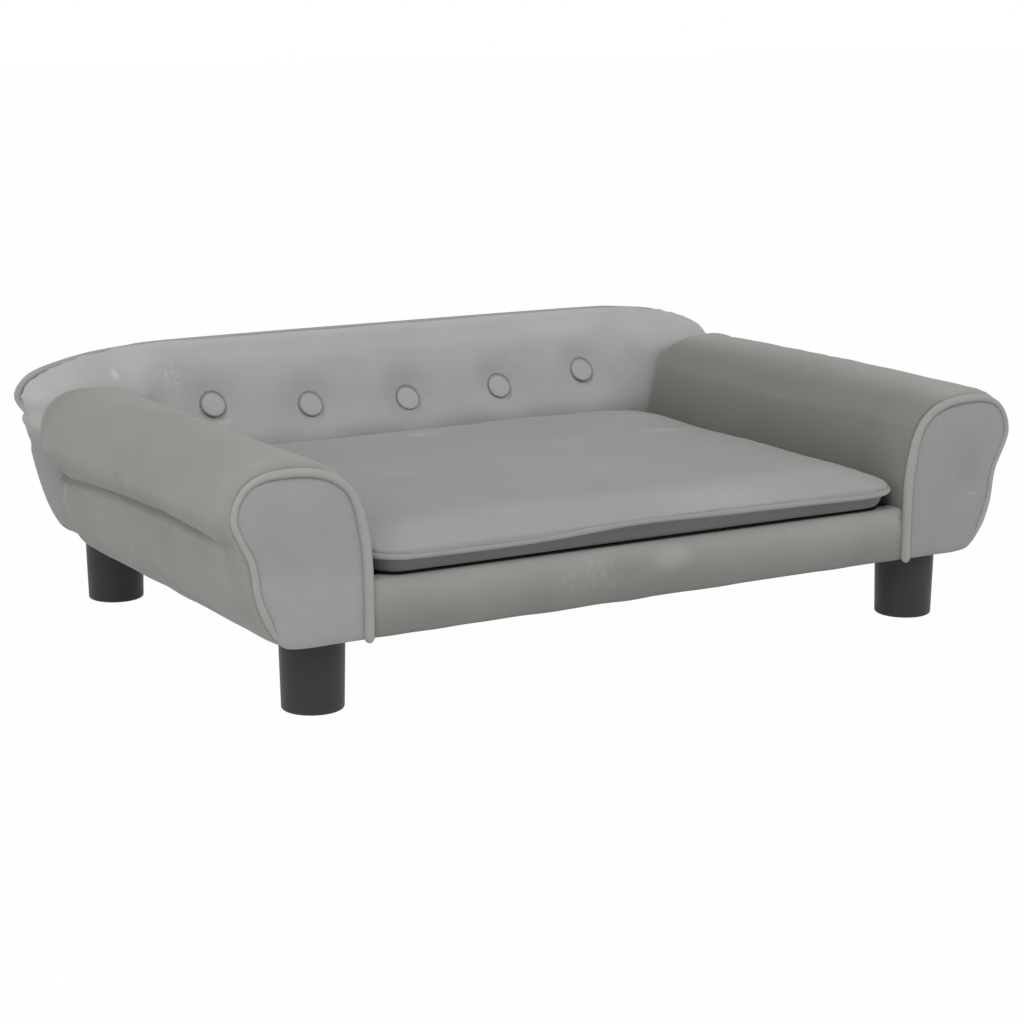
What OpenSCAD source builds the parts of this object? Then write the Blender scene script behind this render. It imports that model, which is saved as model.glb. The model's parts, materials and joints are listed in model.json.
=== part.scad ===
// Dog sofa bed: a low velvet settee on four round legs, with rolled arms, a buttoned back
// and a loose seat cushion. Origin on the floor at the centre of its footprint, front at -Y,
// +X to the right as seen from the front, +Z up. Left and right are named from the front.

/* [Overall] */
// Width over the two arm rolls
overall_w = 900; // [760:1:1100]
// Depth from the arm fronts to the rear of the back
overall_d = 574; // [500:1:700]
// Height of the crest of the back above the floor
overall_h = 275; // [262:1:320]

/* [Legs] */
// Height of a leg, floor to underside
leg_h = 70; // [50:1:100]
// Diameter of a leg at its top
leg_d = 62; // [50:1:66]
// How much narrower the foot is than the top of the leg
leg_taper = 3; // [0:0.5:8]
// Rounding of the foot's lower edge
leg_edge_r = 2.5; // [1:0.5:3.5]
// Wall of the moulded leg
leg_wall = 4; // [3:0.5:6]
// Leg centre out from the arm's inner face
leg_arm_inset = 40; // [36:1:46]
// Front leg centre behind the arm front
leg_front_inset = 50; // [42:1:90]
// Rear leg centre in front of the sofa's rear
leg_rear_inset = 38; // [34:1:50]

/* [Arms] */
// Width of an arm, inner face to the outside of the roll
arm_w = 142; // [130:1:170]
// Height of an arm above the underside
arm_h = 175; // [160:1:184]
// How far the stuffed arm swells past its front panel
arm_swell = 4; // [1:0.5:8]
// Length over which the arm rounds in to its front seam
arm_shoulder = 26; // [12:1:40]
// Length over which the arm rounds in at the back
arm_dome = 20; // [10:1:35]
// Depth of the drawn-in crease under the roll
crease_depth = 7; // [2:0.5:8]
// Velvet and wadding of an arm
arm_skin = 14; // [13:0.5:18]
// Foam wrapped on the arm frame
arm_foam_t = 8; // [6:0.5:12]

/* [Back] */
// Thickness of the back at seat level, face to rear
back_t = 84; // [66:1:100]
// How far the face leans back from seat level to the crest
back_lean = 58; // [35:1:64]
// Spacing of the tuft buttons
button_pitch = 118; // [100:1:130]
// Diameter of a tuft button
button_d = 28; // [20:1:34]
// Thickness of a tuft button
button_t = 7; // [5:0.5:9]
// Drop from the crest to the middle button
button_drop = 85; // [79:1:93]
// Rise of the button row from the middle to its ends
button_rise = 16; // [0:1:20]
// Depth of the dimple round a button
dimple_depth = 6; // [3:0.5:8]

/* [Seat] */
// Height of the seat rail above the underside
rail_h = 54; // [48:1:70]
// Thickness of the cushion at its seams
cushion_t = 25; // [20:1:32]
// Crown of the cushion above its top seam
cushion_crown = 17; // [8:1:24]
// Corner radius of the cushion in plan
cushion_r = 38; // [25:1:60]
// Play between the cushion and the arms and back
cushion_play = 1.5; // [1:0.1:3]
// Diameter of the cushion's piping
cushion_piping_d = 7; // [4:0.5:8]
// Distance from the cushion's side to each end of the zip
zip_end_gap = 46.5; // [38:0.5:150]

/* [Upholstery] */
// Diameter of the piping on arms and back
piping_d = 9; // [6:0.5:11]
// Padding on the front rail
rail_pad = 7; // [4:0.5:10]
// Cloth thickness
cloth_t = 1.3; // [0.8:0.1:2]

/* [Frame] */
// Thickness of the frame timbers
timber_t = 18; // [15:1:22]
// Thickness of the plywood formers and back board
ply_t = 12; // [9:1:15]
// Thickness of the seat deck
deck_t = 9; // [6:1:12]
// Diameter of the leg and arm bolts
bolt_d = 8; // [6:1:10]

/* [Hidden] */

$fn = 48;

// Clearance between pieces that nest or seat, and the overrun of cuts
clear = 0.3;
cut = 1;

velvet = "#a3a6a1";
velvet_shade = "#8f928d";
leg_colour = "#3b3d3f";
foam_colour = "#e9e2c4";
wood_colour = "#cfae7d";
ply_colour = "#d9bf94";
steel_colour = "#b4b7ba";
lining_colour = "#2b2c2d";

// Planes shared by the pieces
front_y = -overall_d / 2;
rear_y = overall_d / 2;
seat_half = overall_w / 2 - arm_w;
deck_z = leg_h + rail_h;
face_y = rear_y - back_t;
piping_r = piping_d / 2;
frame_z = leg_h + cloth_t;
rail_top = deck_z - cloth_t - deck_t;

// Arm outline as shares of its width and height, from the inner foot over the roll to the neck
roll_shares = [[0, 0], [0, 0.2], [0, 0.4], [0.022, 0.56], [0.08, 0.765], [0.19, 0.9],
    [0.35, 0.975], [0.58, 1], [0.77, 0.985], [0.914, 0.92], [1, 0.748], [0.935, 0.603],
    [0.863, 0.458]];
// The same from the neck down the flank to the underside
flank_shares = [[0.863, 0.458], [0.845, 0.313], [0.77, 0.168], [0.64, 0.046], [0.54, 0]];
roll_steps = 2;
flank_steps = 3;
neck_index = (len(roll_shares) - 1) * roll_steps;
arm_outline_shares = concat(curve(roll_shares, roll_steps),
    tail(curve(flank_shares, flank_steps)), [[0.27, 0]]);

// Back outline as shares of its half width and height, from the middle of the crest to the foot
crest_shares = [[0, 1], [0.33, 1], [0.63, 0.996], [0.72, 0.983], [0.81, 0.963], [0.88, 0.932],
    [0.935, 0.89], [0.978, 0.838], [1, 0.765], [0.987, 0.682], [0.966, 0.605]];
side_shares = [[0.966, 0.605], [0.957, 0.54], [0.947, 0.43], [0.931, 0.29], [0.91, 0.155],
    [0.882, 0.045], [0.85, 0]];
back_steps = 3;

// The back is outlined by its piping, and its pad swells a little over that
crest_over = 2.5;
ear_inset = 5;
back_half = overall_w / 2 - ear_inset;
back_rise = overall_h - crest_over - leg_h;

// Where the face of the back stands: shares of the height, and of the lean, between the buttons
lean_shares = [[0, 0], [0.42, 0], [0.48, 0.07], [0.53, 0.2], [0.585, 0.36], [0.63, 0.44],
    [0.7, 0.55], [0.78, 0.66], [0.86, 0.77], [0.92, 0.86], [0.96, 0.92], [0.985, 0.965], [1, 1]];
// The same behind the arms
wing_shares = [[0, 0], [0.63, 0.03], [0.8, 0.15], [0.87, 0.36], [0.92, 0.6], [0.96, 0.82],
    [0.985, 0.93], [1, 1]];
// Heights of the pad's rings, as shares of the pad's height
ring_shares = [0, 0.1, 0.25, 0.38, 0.46, 0.52, 0.56, 0.595, 0.63, 0.68, 0.75, 0.82, 0.88, 0.93,
    0.965, 0.985, 1];

// The rear layers of the back
rear_cover_t = 3.5;
board_y = rear_y - rear_cover_t - clear - ply_t;
pad_rear_y = board_y - clear;
pad_h = overall_h - leg_h;
button_h = pad_h - button_drop;

// Small sizes of the back
wing_start = 24;
wing_blend = 44;
ear_round = 62;
flank_round = 14;
dimple_r = 19;
dimple_ring = 11;
piping_lean = 28;
tie_d = 2.4;
washer_d = 18;
washer_t = 1.5;
back_bolt_d = 6;
back_bolt_l = 26;
back_bolt_spread_shares = [-0.8, -0.27, 0.27, 0.8];

// Small sizes of the arm
former_inset = arm_skin + arm_foam_t + clear;
panel_t = piping_d - 2 * clear;
cover_y = front_y + piping_d + clear;
cover_front_t = 3;
arm_end_y = face_y - clear;
inner_skin = 4;
board_w = 66;
slat_w = 40;
dome_inset = 8;
crease_ramp = 45;
arm_bolt_l = 44;
arm_bolt_shares = [0.18, 0.8];

// Small sizes of the fasteners
head_share = 1.75;
head_t_share = 0.5;
socket_share = 0.7;
nut_flange_d = 20;
nut_flange_t = 2;
nut_barrel_d = 11;
nut_barrel_l = 9;
leg_bolt_l = 52;
boss_d = 20;
leg_rib_t = 3;

// Small sizes of the cushion
cushion_half = seat_half - cushion_play;
cushion_front_y = front_y;
cushion_rear_y = face_y - cushion_play;
cushion_z = deck_z + clear;
zip_l = 2 * (cushion_half - zip_end_gap);
band_inset = 6.5;
base_cloth_t = 0.8;
base_cloth_inset = 14;
foam_inset = 16;
foam_edge = 3;
tape_h = 12;
tape_t = 1;
coil_h = 2.4;
coil_t = 1.2;
slider_l = 10;
slider_h = 9;
slider_t = 2.2;
tab_l = 16;
tab_h = 6;
tab_t = 0.9;

// Curve through a list of points, Catmull-Rom
function blend4(a, b, c, d, t) = (2 * b + (c - a) * t + (2 * a - 5 * b + 4 * c - d) * t * t
    + (3 * b - a - 3 * c + d) * t * t * t) / 2;
function curve_at(p, u) = let (n = len(p), i = min(floor(u), n - 2))
    blend4(p[max(i - 1, 0)], p[i], p[i + 1], p[min(i + 2, n - 1)], u - i);
function curve(p, steps) = [for (k = [0 : (len(p) - 1) * steps]) curve_at(p, k / steps)];
function tail(p) = [for (i = [1 : len(p) - 1]) p[i]];
function backwards(p) = [for (i = [len(p) - 1 : -1 : 0]) p[i]];
function smooth(t) = let (c = min(max(t, 0), 1)) c * c * (3 - 2 * c);
function mix(a, b, t) = a + (b - a) * t;
function middle(p) = let (s = [for (q = p) 1]) (s * p) / len(p);
function unit(v) = v / norm(v);
// Point i of a clockwise outline, moved in square to the outline
function inward(p, i, d) = let (t = unit(p[min(i + 1, len(p) - 1)] - p[max(i - 1, 0)]))
    p[i] + [t.y, -t.x] * d;

// A solid through a list of closed rings that all have the same number of points
module loft(rings) {
    n = len(rings[0]);
    m = len(rings);
    points = concat([for (r = rings) each r], [middle(rings[0]), middle(rings[m - 1])]);
    sides = [for (j = [0 : m - 2], i = [0 : n - 1])
        let (a = j * n + i, b = j * n + (i + 1) % n, c = a + n, d = b + n)
        each [[a, d, b], [a, c, d]]];
    first = [for (i = [0 : n - 1]) [i, (i + 1) % n, m * n]];
    last = [for (i = [0 : n - 1]) [(m - 1) * n + (i + 1) % n, (m - 1) * n + i, m * n + 1]];
    polyhedron(points, concat(sides, first, last), convexity = 8);
}

// A round cord along a path of points
module piping(path, d, sides = 8) {
    n = len(path);
    loft([for (i = [0 : n - 1])
        let (t = unit(path[min(i + 1, n - 1)] - path[max(i - 1, 0)]),
            u = unit(cross(t, [0, 1, 0])), v = cross(u, t))
        [for (k = [0 : sides - 1]) let (a = -360 * k / sides)
            path[i] + (u * cos(a) + v * sin(a)) * d / 2]]);
}

module on_left() { mirror([1, 0, 0]) children(); }

// A pan-head bolt along +Z, its head below zero
module bolt(d, l) {
    head_t = d * head_t_share;
    difference() {
        union() {
            translate([0, 0, -head_t]) cylinder(d = d * head_share, h = head_t);
            cylinder(d = d, h = l);
        }
        translate([0, 0, -head_t - cut])
            cylinder(d = d * socket_share, h = head_t * socket_share + cut, $fn = 6);
    }
}

// A tee nut along -Z from its flange at zero, bored for a bolt
module tee_nut() {
    difference() {
        union() {
            cylinder(d = nut_flange_d, h = nut_flange_t);
            translate([0, 0, -nut_barrel_l]) cylinder(d = nut_barrel_d, h = nut_barrel_l);
        }
        translate([0, 0, -nut_barrel_l - cut])
            cylinder(d = bolt_d + 2 * clear, h = nut_barrel_l + nut_flange_t + 2 * cut);
    }
}

// Legs

leg_x = seat_half + leg_arm_inset;
leg_front_y = front_y + leg_front_inset;
leg_rear_y = rear_y - leg_rear_inset;
leg_places = [[-leg_x, leg_front_y], [leg_x, leg_front_y], [-leg_x, leg_rear_y],
    [leg_x, leg_rear_y]];
leg_bolt_low = frame_z + timber_t + nut_flange_t - leg_bolt_l;

module leg() {
    top_r = leg_d / 2;
    foot_r = top_r - leg_taper / 2;
    color(leg_colour) {
        difference() {
            rotate_extrude() difference() {
                union() {
                    translate([0, leg_edge_r]) polygon([[0, 0], [foot_r, 0],
                        [top_r, leg_h - leg_edge_r], [0, leg_h - leg_edge_r]]);
                    square([foot_r - leg_edge_r, leg_edge_r + clear]);
                    intersection() {
                        translate([foot_r - leg_edge_r, leg_edge_r]) circle(r = leg_edge_r);
                        translate([foot_r - leg_edge_r, 0]) square([leg_edge_r, leg_edge_r]);
                    }
                }
                polygon([[boss_d / 2, leg_wall], [foot_r - leg_wall, leg_wall],
                    [top_r - leg_wall, leg_h + cut], [boss_d / 2, leg_h + cut]]);
            }
            translate([0, 0, leg_bolt_low - clear])
                cylinder(d = bolt_d + 2 * clear, h = leg_h);
        }
        for (k = [0 : 3]) rotate([0, 0, 90 * k + 45])
            translate([boss_d / 2 - leg_rib_t / 2, -leg_rib_t / 2, leg_wall / 2])
                cube([(foot_r + top_r - leg_wall - boss_d + leg_rib_t) / 2, leg_rib_t,
                    leg_h - leg_wall]);
    }
}

module place_leg(k) { translate(leg_places[k]) leg(); }

module leg_front_left() { place_leg(0); }
module leg_front_right() { place_leg(1); }
module leg_rear_left() { place_leg(2); }
module leg_rear_right() { place_leg(3); }

module leg_bolts() {
    color(steel_colour) for (p = leg_places)
        translate([p.x, p.y, leg_bolt_low]) cylinder(d = bolt_d, h = leg_bolt_l);
}

module leg_tee_nuts() {
    color(steel_colour) for (p = leg_places)
        translate([p.x, p.y, frame_z + timber_t]) tee_nut();
}

// Base frame

rail_lag = 3.5;
rail_wood_y = front_y + rail_pad + rail_lag;
rail_half = seat_half - clear;
base_rear_y = pad_rear_y;
base_frame_h = rail_top - frame_z;
side_rail_l = base_rear_y - timber_t - (rail_wood_y + timber_t);
arm_bolt_ys = [for (s = arm_bolt_shares) rail_wood_y + timber_t + side_rail_l * s];

module base_front_rail() {
    color(wood_colour) translate([-rail_half, rail_wood_y, frame_z])
        cube([2 * rail_half, timber_t, base_frame_h]);
}

module back_bolt_row() {
    for (s = back_bolt_spread_shares)
        translate([s * rail_half, board_y + ply_t - back_bolt_d, leg_h + rail_h / 2])
            rotate([90, 0, 0]) children();
}

module base_rear_rail() {
    color(wood_colour) difference() {
        translate([-rail_half, base_rear_y - timber_t, frame_z])
            cube([2 * rail_half, timber_t, base_frame_h]);
        back_bolt_row() cylinder(d = back_bolt_d + 2 * clear, h = back_bolt_l + clear);
    }
}

// Bolts run from the side rail out into the arm, along +X on the right
module arm_bolt_row() {
    for (y = arm_bolt_ys)
        translate([rail_half - timber_t, y, frame_z + timber_t + nut_flange_d / 2 + cloth_t])
            rotate([0, 90, 0]) children();
}

module side_rail() {
    color(wood_colour) difference() {
        translate([rail_half - timber_t, rail_wood_y + timber_t, frame_z])
            cube([timber_t, side_rail_l, base_frame_h]);
        arm_bolt_row() translate([0, 0, -cut])
            cylinder(d = bolt_d + 2 * clear, h = timber_t + 2 * cut);
    }
}

module base_right_rail() { side_rail(); }
module base_left_rail() { on_left() side_rail(); }

module base_centre_brace() {
    color(wood_colour) translate([-timber_t / 2, rail_wood_y + timber_t, frame_z])
        cube([timber_t, side_rail_l, base_frame_h]);
}

module seat_deck() {
    color(ply_colour) translate([-rail_half, rail_wood_y, rail_top])
        cube([2 * rail_half, base_rear_y - rail_wood_y, deck_t]);
}

rail_cover_back_y = rail_wood_y + timber_t;

module deck_cloth() {
    color(lining_colour) translate([-rail_half, rail_cover_back_y + clear, rail_top + deck_t])
        cube([2 * rail_half, face_y - rail_cover_back_y - 2 * clear, cloth_t - clear / 2]);
}

// Padded velvet round the front rail, open at the back
module front_rail_cover() {
    round_r = rail_pad + cloth_t;
    front = front_y + rail_lag;
    color(velvet_shade) rotate([90, 0, 90])
        translate([0, 0, -rail_half]) linear_extrude(2 * rail_half) difference() {
            union() {
                translate([front, leg_h]) square([rail_cover_back_y - front, rail_h - round_r]);
                translate([front + round_r, leg_h])
                    square([rail_cover_back_y - front - round_r, rail_h]);
                translate([front + round_r, deck_z - round_r]) circle(r = round_r);
            }
            translate([rail_wood_y - clear, frame_z - clear])
                square([timber_t + 2 * cut + clear, rail_h - 2 * cloth_t + 2 * clear]);
        }
}

module dust_cover() {
    color(lining_colour) translate([-rail_half, rail_cover_back_y + clear, leg_h + clear])
        cube([2 * rail_half, pad_rear_y - rail_cover_back_y - clear, cloth_t - 2 * clear]);
}

// Arms, drawn on the right; x runs outward from the inner face and z up from the underside

function arm_section(w, h, inset = 0, crease = 0) =
    let (c = [w / 2, h / 2], k = 1 - 2 * inset / w)
    [for (i = [0 : len(arm_outline_shares) - 1])
        let (s = arm_outline_shares[i], p = [s.x * w, s.y * h], far = abs(i - neck_index))
        c + (p - c) * k - [crease * (far == 0 ? 1 : far == 1 ? 0.45 : 0), 0]];

module in_arm() { translate([seat_half, 0, leg_h]) children(); }

// Extrudes a section drawn in x and z from y0 back to y1
module along(y0, y1) {
    translate([0, y1, 0]) rotate([90, 0, 0]) linear_extrude(y1 - y0) children();
}

arm_l = arm_end_y - cover_y;
shoulder_turns = [0, 22, 45, 68, 90];
mid_shares = [0.2, 0.4, 0.6, 0.8];

// Rings of the arm: distance back from its front, and how much smaller each is over the roll
arm_rings = concat(
    [for (a = shoulder_turns)
        [arm_shoulder * (1 - cos(a)), (arm_swell + 2 * clear) * (1 - sin(a))]],
    [for (s = mid_shares) [mix(arm_shoulder, arm_l - arm_dome, s), 0]],
    [for (a = shoulder_turns)
        [arm_l - arm_dome * (1 - sin(a)), dome_inset * (1 - cos(a))]]);

function crease_at(y) = crease_depth * smooth(y / crease_ramp)
    * smooth((arm_l - y) / arm_dome);

former_front_y = cover_y + cover_front_t + clear;
former_rear_y = arm_end_y - ply_t - cover_front_t;

module arm_hollow_section() {
    polygon(arm_section(arm_w, arm_h, arm_skin));
    translate([inner_skin, cloth_t]) square([board_w, rail_h - cloth_t]);
}

module arm_cover() {
    color(velvet) difference() {
        in_arm() loft([for (r = arm_rings)
            [for (p = arm_section(arm_w - r[1], arm_h - r[1], 0, crease_at(r[0])))
                [p.x, cover_y + r[0], p.y]]]);
        in_arm() along(cover_y + cover_front_t, arm_end_y + cut) arm_hollow_section();
        arm_bolt_row() cylinder(d = bolt_d + 2 * clear, h = timber_t + inner_skin + cut);
        for (p = [leg_places[1], leg_places[3]]) translate([p.x, p.y, 0])
            cylinder(d = bolt_d + 2 * clear, h = leg_h + cloth_t + cut);
    }
}

module arm_foam() {
    color(foam_colour) in_arm() along(former_front_y, arm_end_y - arm_dome) difference() {
        polygon(arm_section(arm_w, arm_h, arm_skin + clear));
        polygon(arm_section(arm_w, arm_h, arm_skin + arm_foam_t));
        translate([-cut, -cut])
            square([inner_skin + board_w + clear + cut, rail_h + clear + cut]);
    }
}

// A plywood former, from y back, with a foot that stands on the bottom board
module former(y) {
    color(ply_colour) in_arm() {
        along(y, y + ply_t) polygon(arm_section(arm_w, arm_h, former_inset));
        along(y, y + ply_t) translate([inner_skin + clear, cloth_t + timber_t])
            square([board_w - 2 * clear, rail_h - cloth_t - timber_t - clear]);
    }
}

module arm_front_former() { former(former_front_y); }
module arm_rear_former() { former(former_rear_y); }

// Three slats between the formers, under the top, the inner side and the outer side of the roll
module arm_slats() {
    half_w = arm_w / 2 - former_inset;
    half_h = arm_h / 2 - former_inset * arm_h / arm_w;
    color(wood_colour) in_arm() translate([arm_w / 2, 0, arm_h / 2])
        along(former_front_y + ply_t, former_rear_y) {
            translate([-slat_w / 2, half_h - 1.5 * ply_t]) square([slat_w, ply_t]);
            translate([-half_w + ply_t, -ply_t / 2]) square([ply_t, slat_w]);
            translate([half_w - 2.5 * ply_t, -ply_t / 2]) square([ply_t, slat_w]);
        }
}

module arm_inner_board() {
    color(ply_colour) difference() {
        in_arm() along(former_front_y + ply_t, former_rear_y)
            translate([inner_skin + clear, cloth_t + timber_t])
                square([ply_t, rail_h - cloth_t - timber_t - clear]);
        arm_bolt_row() cylinder(d = nut_barrel_d + 2 * clear, h = arm_bolt_l);
    }
}

module arm_bottom_board() {
    color(wood_colour) difference() {
        in_arm() along(former_front_y, pad_rear_y - clear)
            translate([inner_skin + clear, cloth_t]) square([board_w - 2 * clear, timber_t]);
        for (p = [leg_places[1], leg_places[3]]) translate([p.x, p.y, leg_h])
            cylinder(d = nut_barrel_d + 2 * clear, h = timber_t + rail_h);
    }
}

panel_outline = [for (s = arm_outline_shares)
    [s.x * (arm_w - arm_swell), s.y * (arm_h - arm_swell)]];
outer_foot = neck_index + (len(flank_shares) - 2) * flank_steps;
panel_edge = piping_d + clear;

module arm_front_panel() {
    color(velvet) in_arm() along(front_y + 2 * clear, front_y + 2 * clear + panel_t)
        polygon(concat([[panel_edge, 0]],
            [for (i = [1 : outer_foot]) inward(panel_outline, i, panel_edge)],
            [[panel_outline[outer_foot].x - panel_edge, 0]]));
}

// The piping follows the panel from the inner foot over the roll and down to the outer foot
module arm_piping() {
    path = concat([[piping_r, clear]],
        [for (i = [1 : outer_foot]) inward(panel_outline, i, piping_r)]);
    color(velvet) in_arm() piping([for (p = path) [p.x, front_y + piping_r, p.y]], piping_d);
}

module arm_bolts() {
    color(steel_colour) {
        arm_bolt_row() bolt(bolt_d, arm_bolt_l);
        on_left() arm_bolt_row() bolt(bolt_d, arm_bolt_l);
    }
}

module arm_tee_nuts() {
    for (side = [0, 1]) mirror([side, 0, 0]) color(steel_colour)
        arm_bolt_row() translate([0, 0, timber_t + 2 * clear + inner_skin + ply_t]) tee_nut();
}

module right_arm_cover() { arm_cover(); }
module right_arm_foam() { arm_foam(); }
module right_arm_front_former() { arm_front_former(); }
module right_arm_rear_former() { arm_rear_former(); }
module right_arm_slats() { arm_slats(); }
module right_arm_inner_board() { arm_inner_board(); }
module right_arm_bottom_board() { arm_bottom_board(); }
module right_arm_front_panel() { arm_front_panel(); }
module right_arm_piping() { arm_piping(); }
module left_arm_cover() { on_left() arm_cover(); }
module left_arm_foam() { on_left() arm_foam(); }
module left_arm_front_former() { on_left() arm_front_former(); }
module left_arm_rear_former() { on_left() arm_rear_former(); }
module left_arm_slats() { on_left() arm_slats(); }
module left_arm_inner_board() { on_left() arm_inner_board(); }
module left_arm_bottom_board() { on_left() arm_bottom_board(); }
module left_arm_front_panel() { on_left() arm_front_panel(); }
module left_arm_piping() { on_left() arm_piping(); }

// Back

back_outline = [for (s = concat(curve(crest_shares, back_steps),
    tail(curve(side_shares, back_steps)))) [s.x * back_half, s.y * back_rise]];
neck_point = (len(crest_shares) - 1) * back_steps;
neck_z = back_outline[neck_point].y;
crest_flat = 2 * back_steps;
width_table = [for (i = [len(back_outline) - 1 : -1 : crest_flat])
    [back_outline[i].y, back_outline[i].x]];

// Half width of the outline at a height above the underside
function half_at(z) = lookup(z, width_table);
// How far the pad and the board stay inside the piping: nothing below the neck
function trim_at(z) = (piping_d + 2 * clear) * smooth((z - neck_z + 3 * piping_d) / (2 * piping_d));

button_xs = [for (k = [-2 : 2]) k * button_pitch];
function row_rise(x) = button_rise * pow(x / (2 * button_pitch), 2);
function dimple(x, z) = max([for (b = button_xs)
    let (d = norm([x - b, z - button_h - row_rise(b)]))
    dimple_depth * exp(-pow(d / dimple_r, 2))]);

// Face of the back at x and z, before the dimples
function face_at(x, z) = let (s = z / pad_h,
    wing = smooth((abs(x) - seat_half + wing_start) / wing_blend))
    face_y + back_lean * mix(lookup(s, lean_shares), lookup(s, wing_shares), wing);

// Stations across the pad: round each button, between buttons, then out to the edge. Where a ring
// is short of room for them, as at the crest, they stand closer.
inner_xs = [for (b = button_xs) each [b - 2.4 * dimple_ring, b - dimple_ring, b,
    b + dimple_ring, b + 2.4 * dimple_ring, b + button_pitch / 2]];
edge_turns = [0, 25, 50, 70, 90];
outer_shares = [0.35, 0.7];

function pad_ring(s) =
    let (z = s * pad_h,
        half = half_at(z * back_rise / pad_h) - trim_at(z),
        ear = smooth((z - neck_z) / (2 * piping_d)),
        reach = 2 * button_pitch + 2.4 * dimple_ring,
        fit = min(1, (half - flank_round / 2) / reach),
        inner = [for (x = inner_xs) if (x < 2.5 * button_pitch - clear) x * fit],
        last = inner[len(inner) - 1],
        round_x = min(mix(flank_round, ear_round, ear), 0.6 * (half - last)),
        power = mix(0.35, 1, ear),
        stay = half - round_x,
        right = concat([for (q = outer_shares) mix(last, stay, q)],
            [for (a = edge_turns) stay + round_x * pow(sin(a), power)]),
        turn = concat([for (q = outer_shares) 0],
            [for (a = edge_turns) 1 - pow(cos(a), power)]),
        lift = smooth((z - 0.4 * pad_h) / (0.19 * pad_h))
            * smooth((0.9 * pad_h - z) / (0.22 * pad_h)),
        side = [for (i = [0 : len(right) - 1])
            [right[i], mix(face_at(right[i], z), pad_rear_y, turn[i]), z]],
        mid = [for (x = inner)
            let (zz = z + lift * row_rise(x))
            [x, face_at(x, zz) + dimple(x, zz), zz]],
        rear = [for (q = [0.75, 0.5, 0.25, 0, -0.25, -0.5, -0.75])
            [q * half, pad_rear_y, z]])
    concat(backwards([for (p = side) [-p.x, p.y, p.z]]), mid, side, rear);

// Buttons lean with the face
button_lean = atan2(face_at(0, button_h + dimple_r) - face_at(0, button_h - dimple_r),
    2 * dimple_r);

module at_buttons() {
    for (b = button_xs) let (z = button_h + row_rise(b))
        translate([b, face_at(b, z) + dimple_depth, leg_h + z])
            rotate([90 - button_lean, 0, 0]) children();
}

module tie_line(d) {
    for (b = button_xs) let (z = button_h + row_rise(b))
        translate([b, rear_y - rear_cover_t - washer_t - 2 * clear, leg_h + z])
            rotate([90, 0, 0])
                cylinder(d = d, h = rear_y - rear_cover_t - washer_t - 2 * clear
                    - face_at(b, z) - dimple_depth - button_t / 2);
}

module back_pad() {
    slot_top = leg_h + cloth_t + timber_t + clear;
    color(velvet) difference() {
        translate([0, 0, leg_h]) loft([for (s = ring_shares) pad_ring(s)]);
        translate([-seat_half, face_y - cut, leg_h - cut])
            cube([2 * seat_half, back_t, rail_h - cloth_t + clear + cut]);
        for (side = [-1, 1])
            translate([side * (seat_half + inner_skin + board_w / 2) - board_w / 2 - clear,
                face_y - cut, leg_h + cloth_t - clear])
                cube([board_w + 2 * clear, back_t, timber_t + 2 * clear]);
        for (p = [leg_places[2], leg_places[3]]) translate([p.x, p.y, 0])
            cylinder(d = nut_flange_d + 2 * clear,
                h = slot_top + nut_flange_t + leg_bolt_l / 5);
        at_buttons() translate([0, 0, -clear])
            cylinder(d = button_d + 2 * clear, h = button_t + dimple_depth * 2);
        tie_line(tie_d + 2 * clear);
    }
}

// Outline of the board and the rear cover, drawn in x and z above the underside. Where a bend is
// tighter than the distance moved in, the points that would run backwards are left out.
function rear_outline(extra) =
    let (end = len(back_outline) - 1,
        moved = [for (i = [0 : end])
            inward(back_outline, i, trim_at(back_outline[i].y) + extra)],
        half = [for (i = [0 : end])
            if (i == end || (moved[i + 1] - moved[i]) * (back_outline[i + 1] - back_outline[i]) > 0)
                moved[i]])
    concat(half, backwards([for (p = half) [-p.x, p.y]]));

module back_board() {
    color(ply_colour) difference() {
        translate([0, 0, leg_h]) along(board_y, board_y + ply_t) difference() {
            polygon(rear_outline(clear));
            translate([-overall_w / 2, -cut]) square([overall_w, cloth_t + cut]);
        }
        back_bolt_row() {
            cylinder(d = back_bolt_d + 2 * clear, h = ply_t + cut);
            translate([0, 0, -back_bolt_d]) cylinder(
                d = back_bolt_d * head_share + 2 * clear, h = back_bolt_d);
        }
        for (b = button_xs) let (z = button_h + row_rise(b)) {
            translate([b, rear_y, leg_h + z]) rotate([90, 0, 0]) {
                cylinder(d = tie_d + 2 * clear, h = back_t);
                cylinder(d = washer_d + 2 * clear,
                    h = rear_cover_t + clear + washer_t + clear);
            }
        }
    }
}

module back_rear_cover() {
    color(velvet_shade) translate([0, 0, leg_h])
        along(rear_y - rear_cover_t, rear_y) polygon(rear_outline(0));
}

// The piping runs along the rear of the crest and down the ears, and leans forward at its ends
module back_piping() {
    half = [for (i = [0 : neck_point])
        let (p = inward(back_outline, i, piping_r),
            lean = smooth((neck_z + piping_lean - p.y) / piping_lean))
        [p.x, pad_rear_y + piping_r + clear - piping_lean * lean, p.y]];
    path = concat(backwards([for (p = tail(half)) [-p.x, p.y, p.z]]), half);
    color(velvet) translate([0, 0, leg_h]) piping(path, piping_d);
}

module back_bolts() {
    color(steel_colour) back_bolt_row() bolt(back_bolt_d, back_bolt_l);
}

module tuft_buttons() {
    rise = button_t * 0.55;
    color(velvet) at_buttons() rotate_extrude() {
        square([button_d / 2, button_t - rise]);
        intersection() {
            translate([0, button_t - dome_r()]) circle(r = dome_r(), $fn = 96);
            translate([0, button_t - rise]) square([button_d / 2, rise]);
        }
    }
}

function dome_r() = let (rise = button_t * 0.55)
    (pow(button_d / 2, 2) + rise * rise) / (2 * rise);

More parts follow.
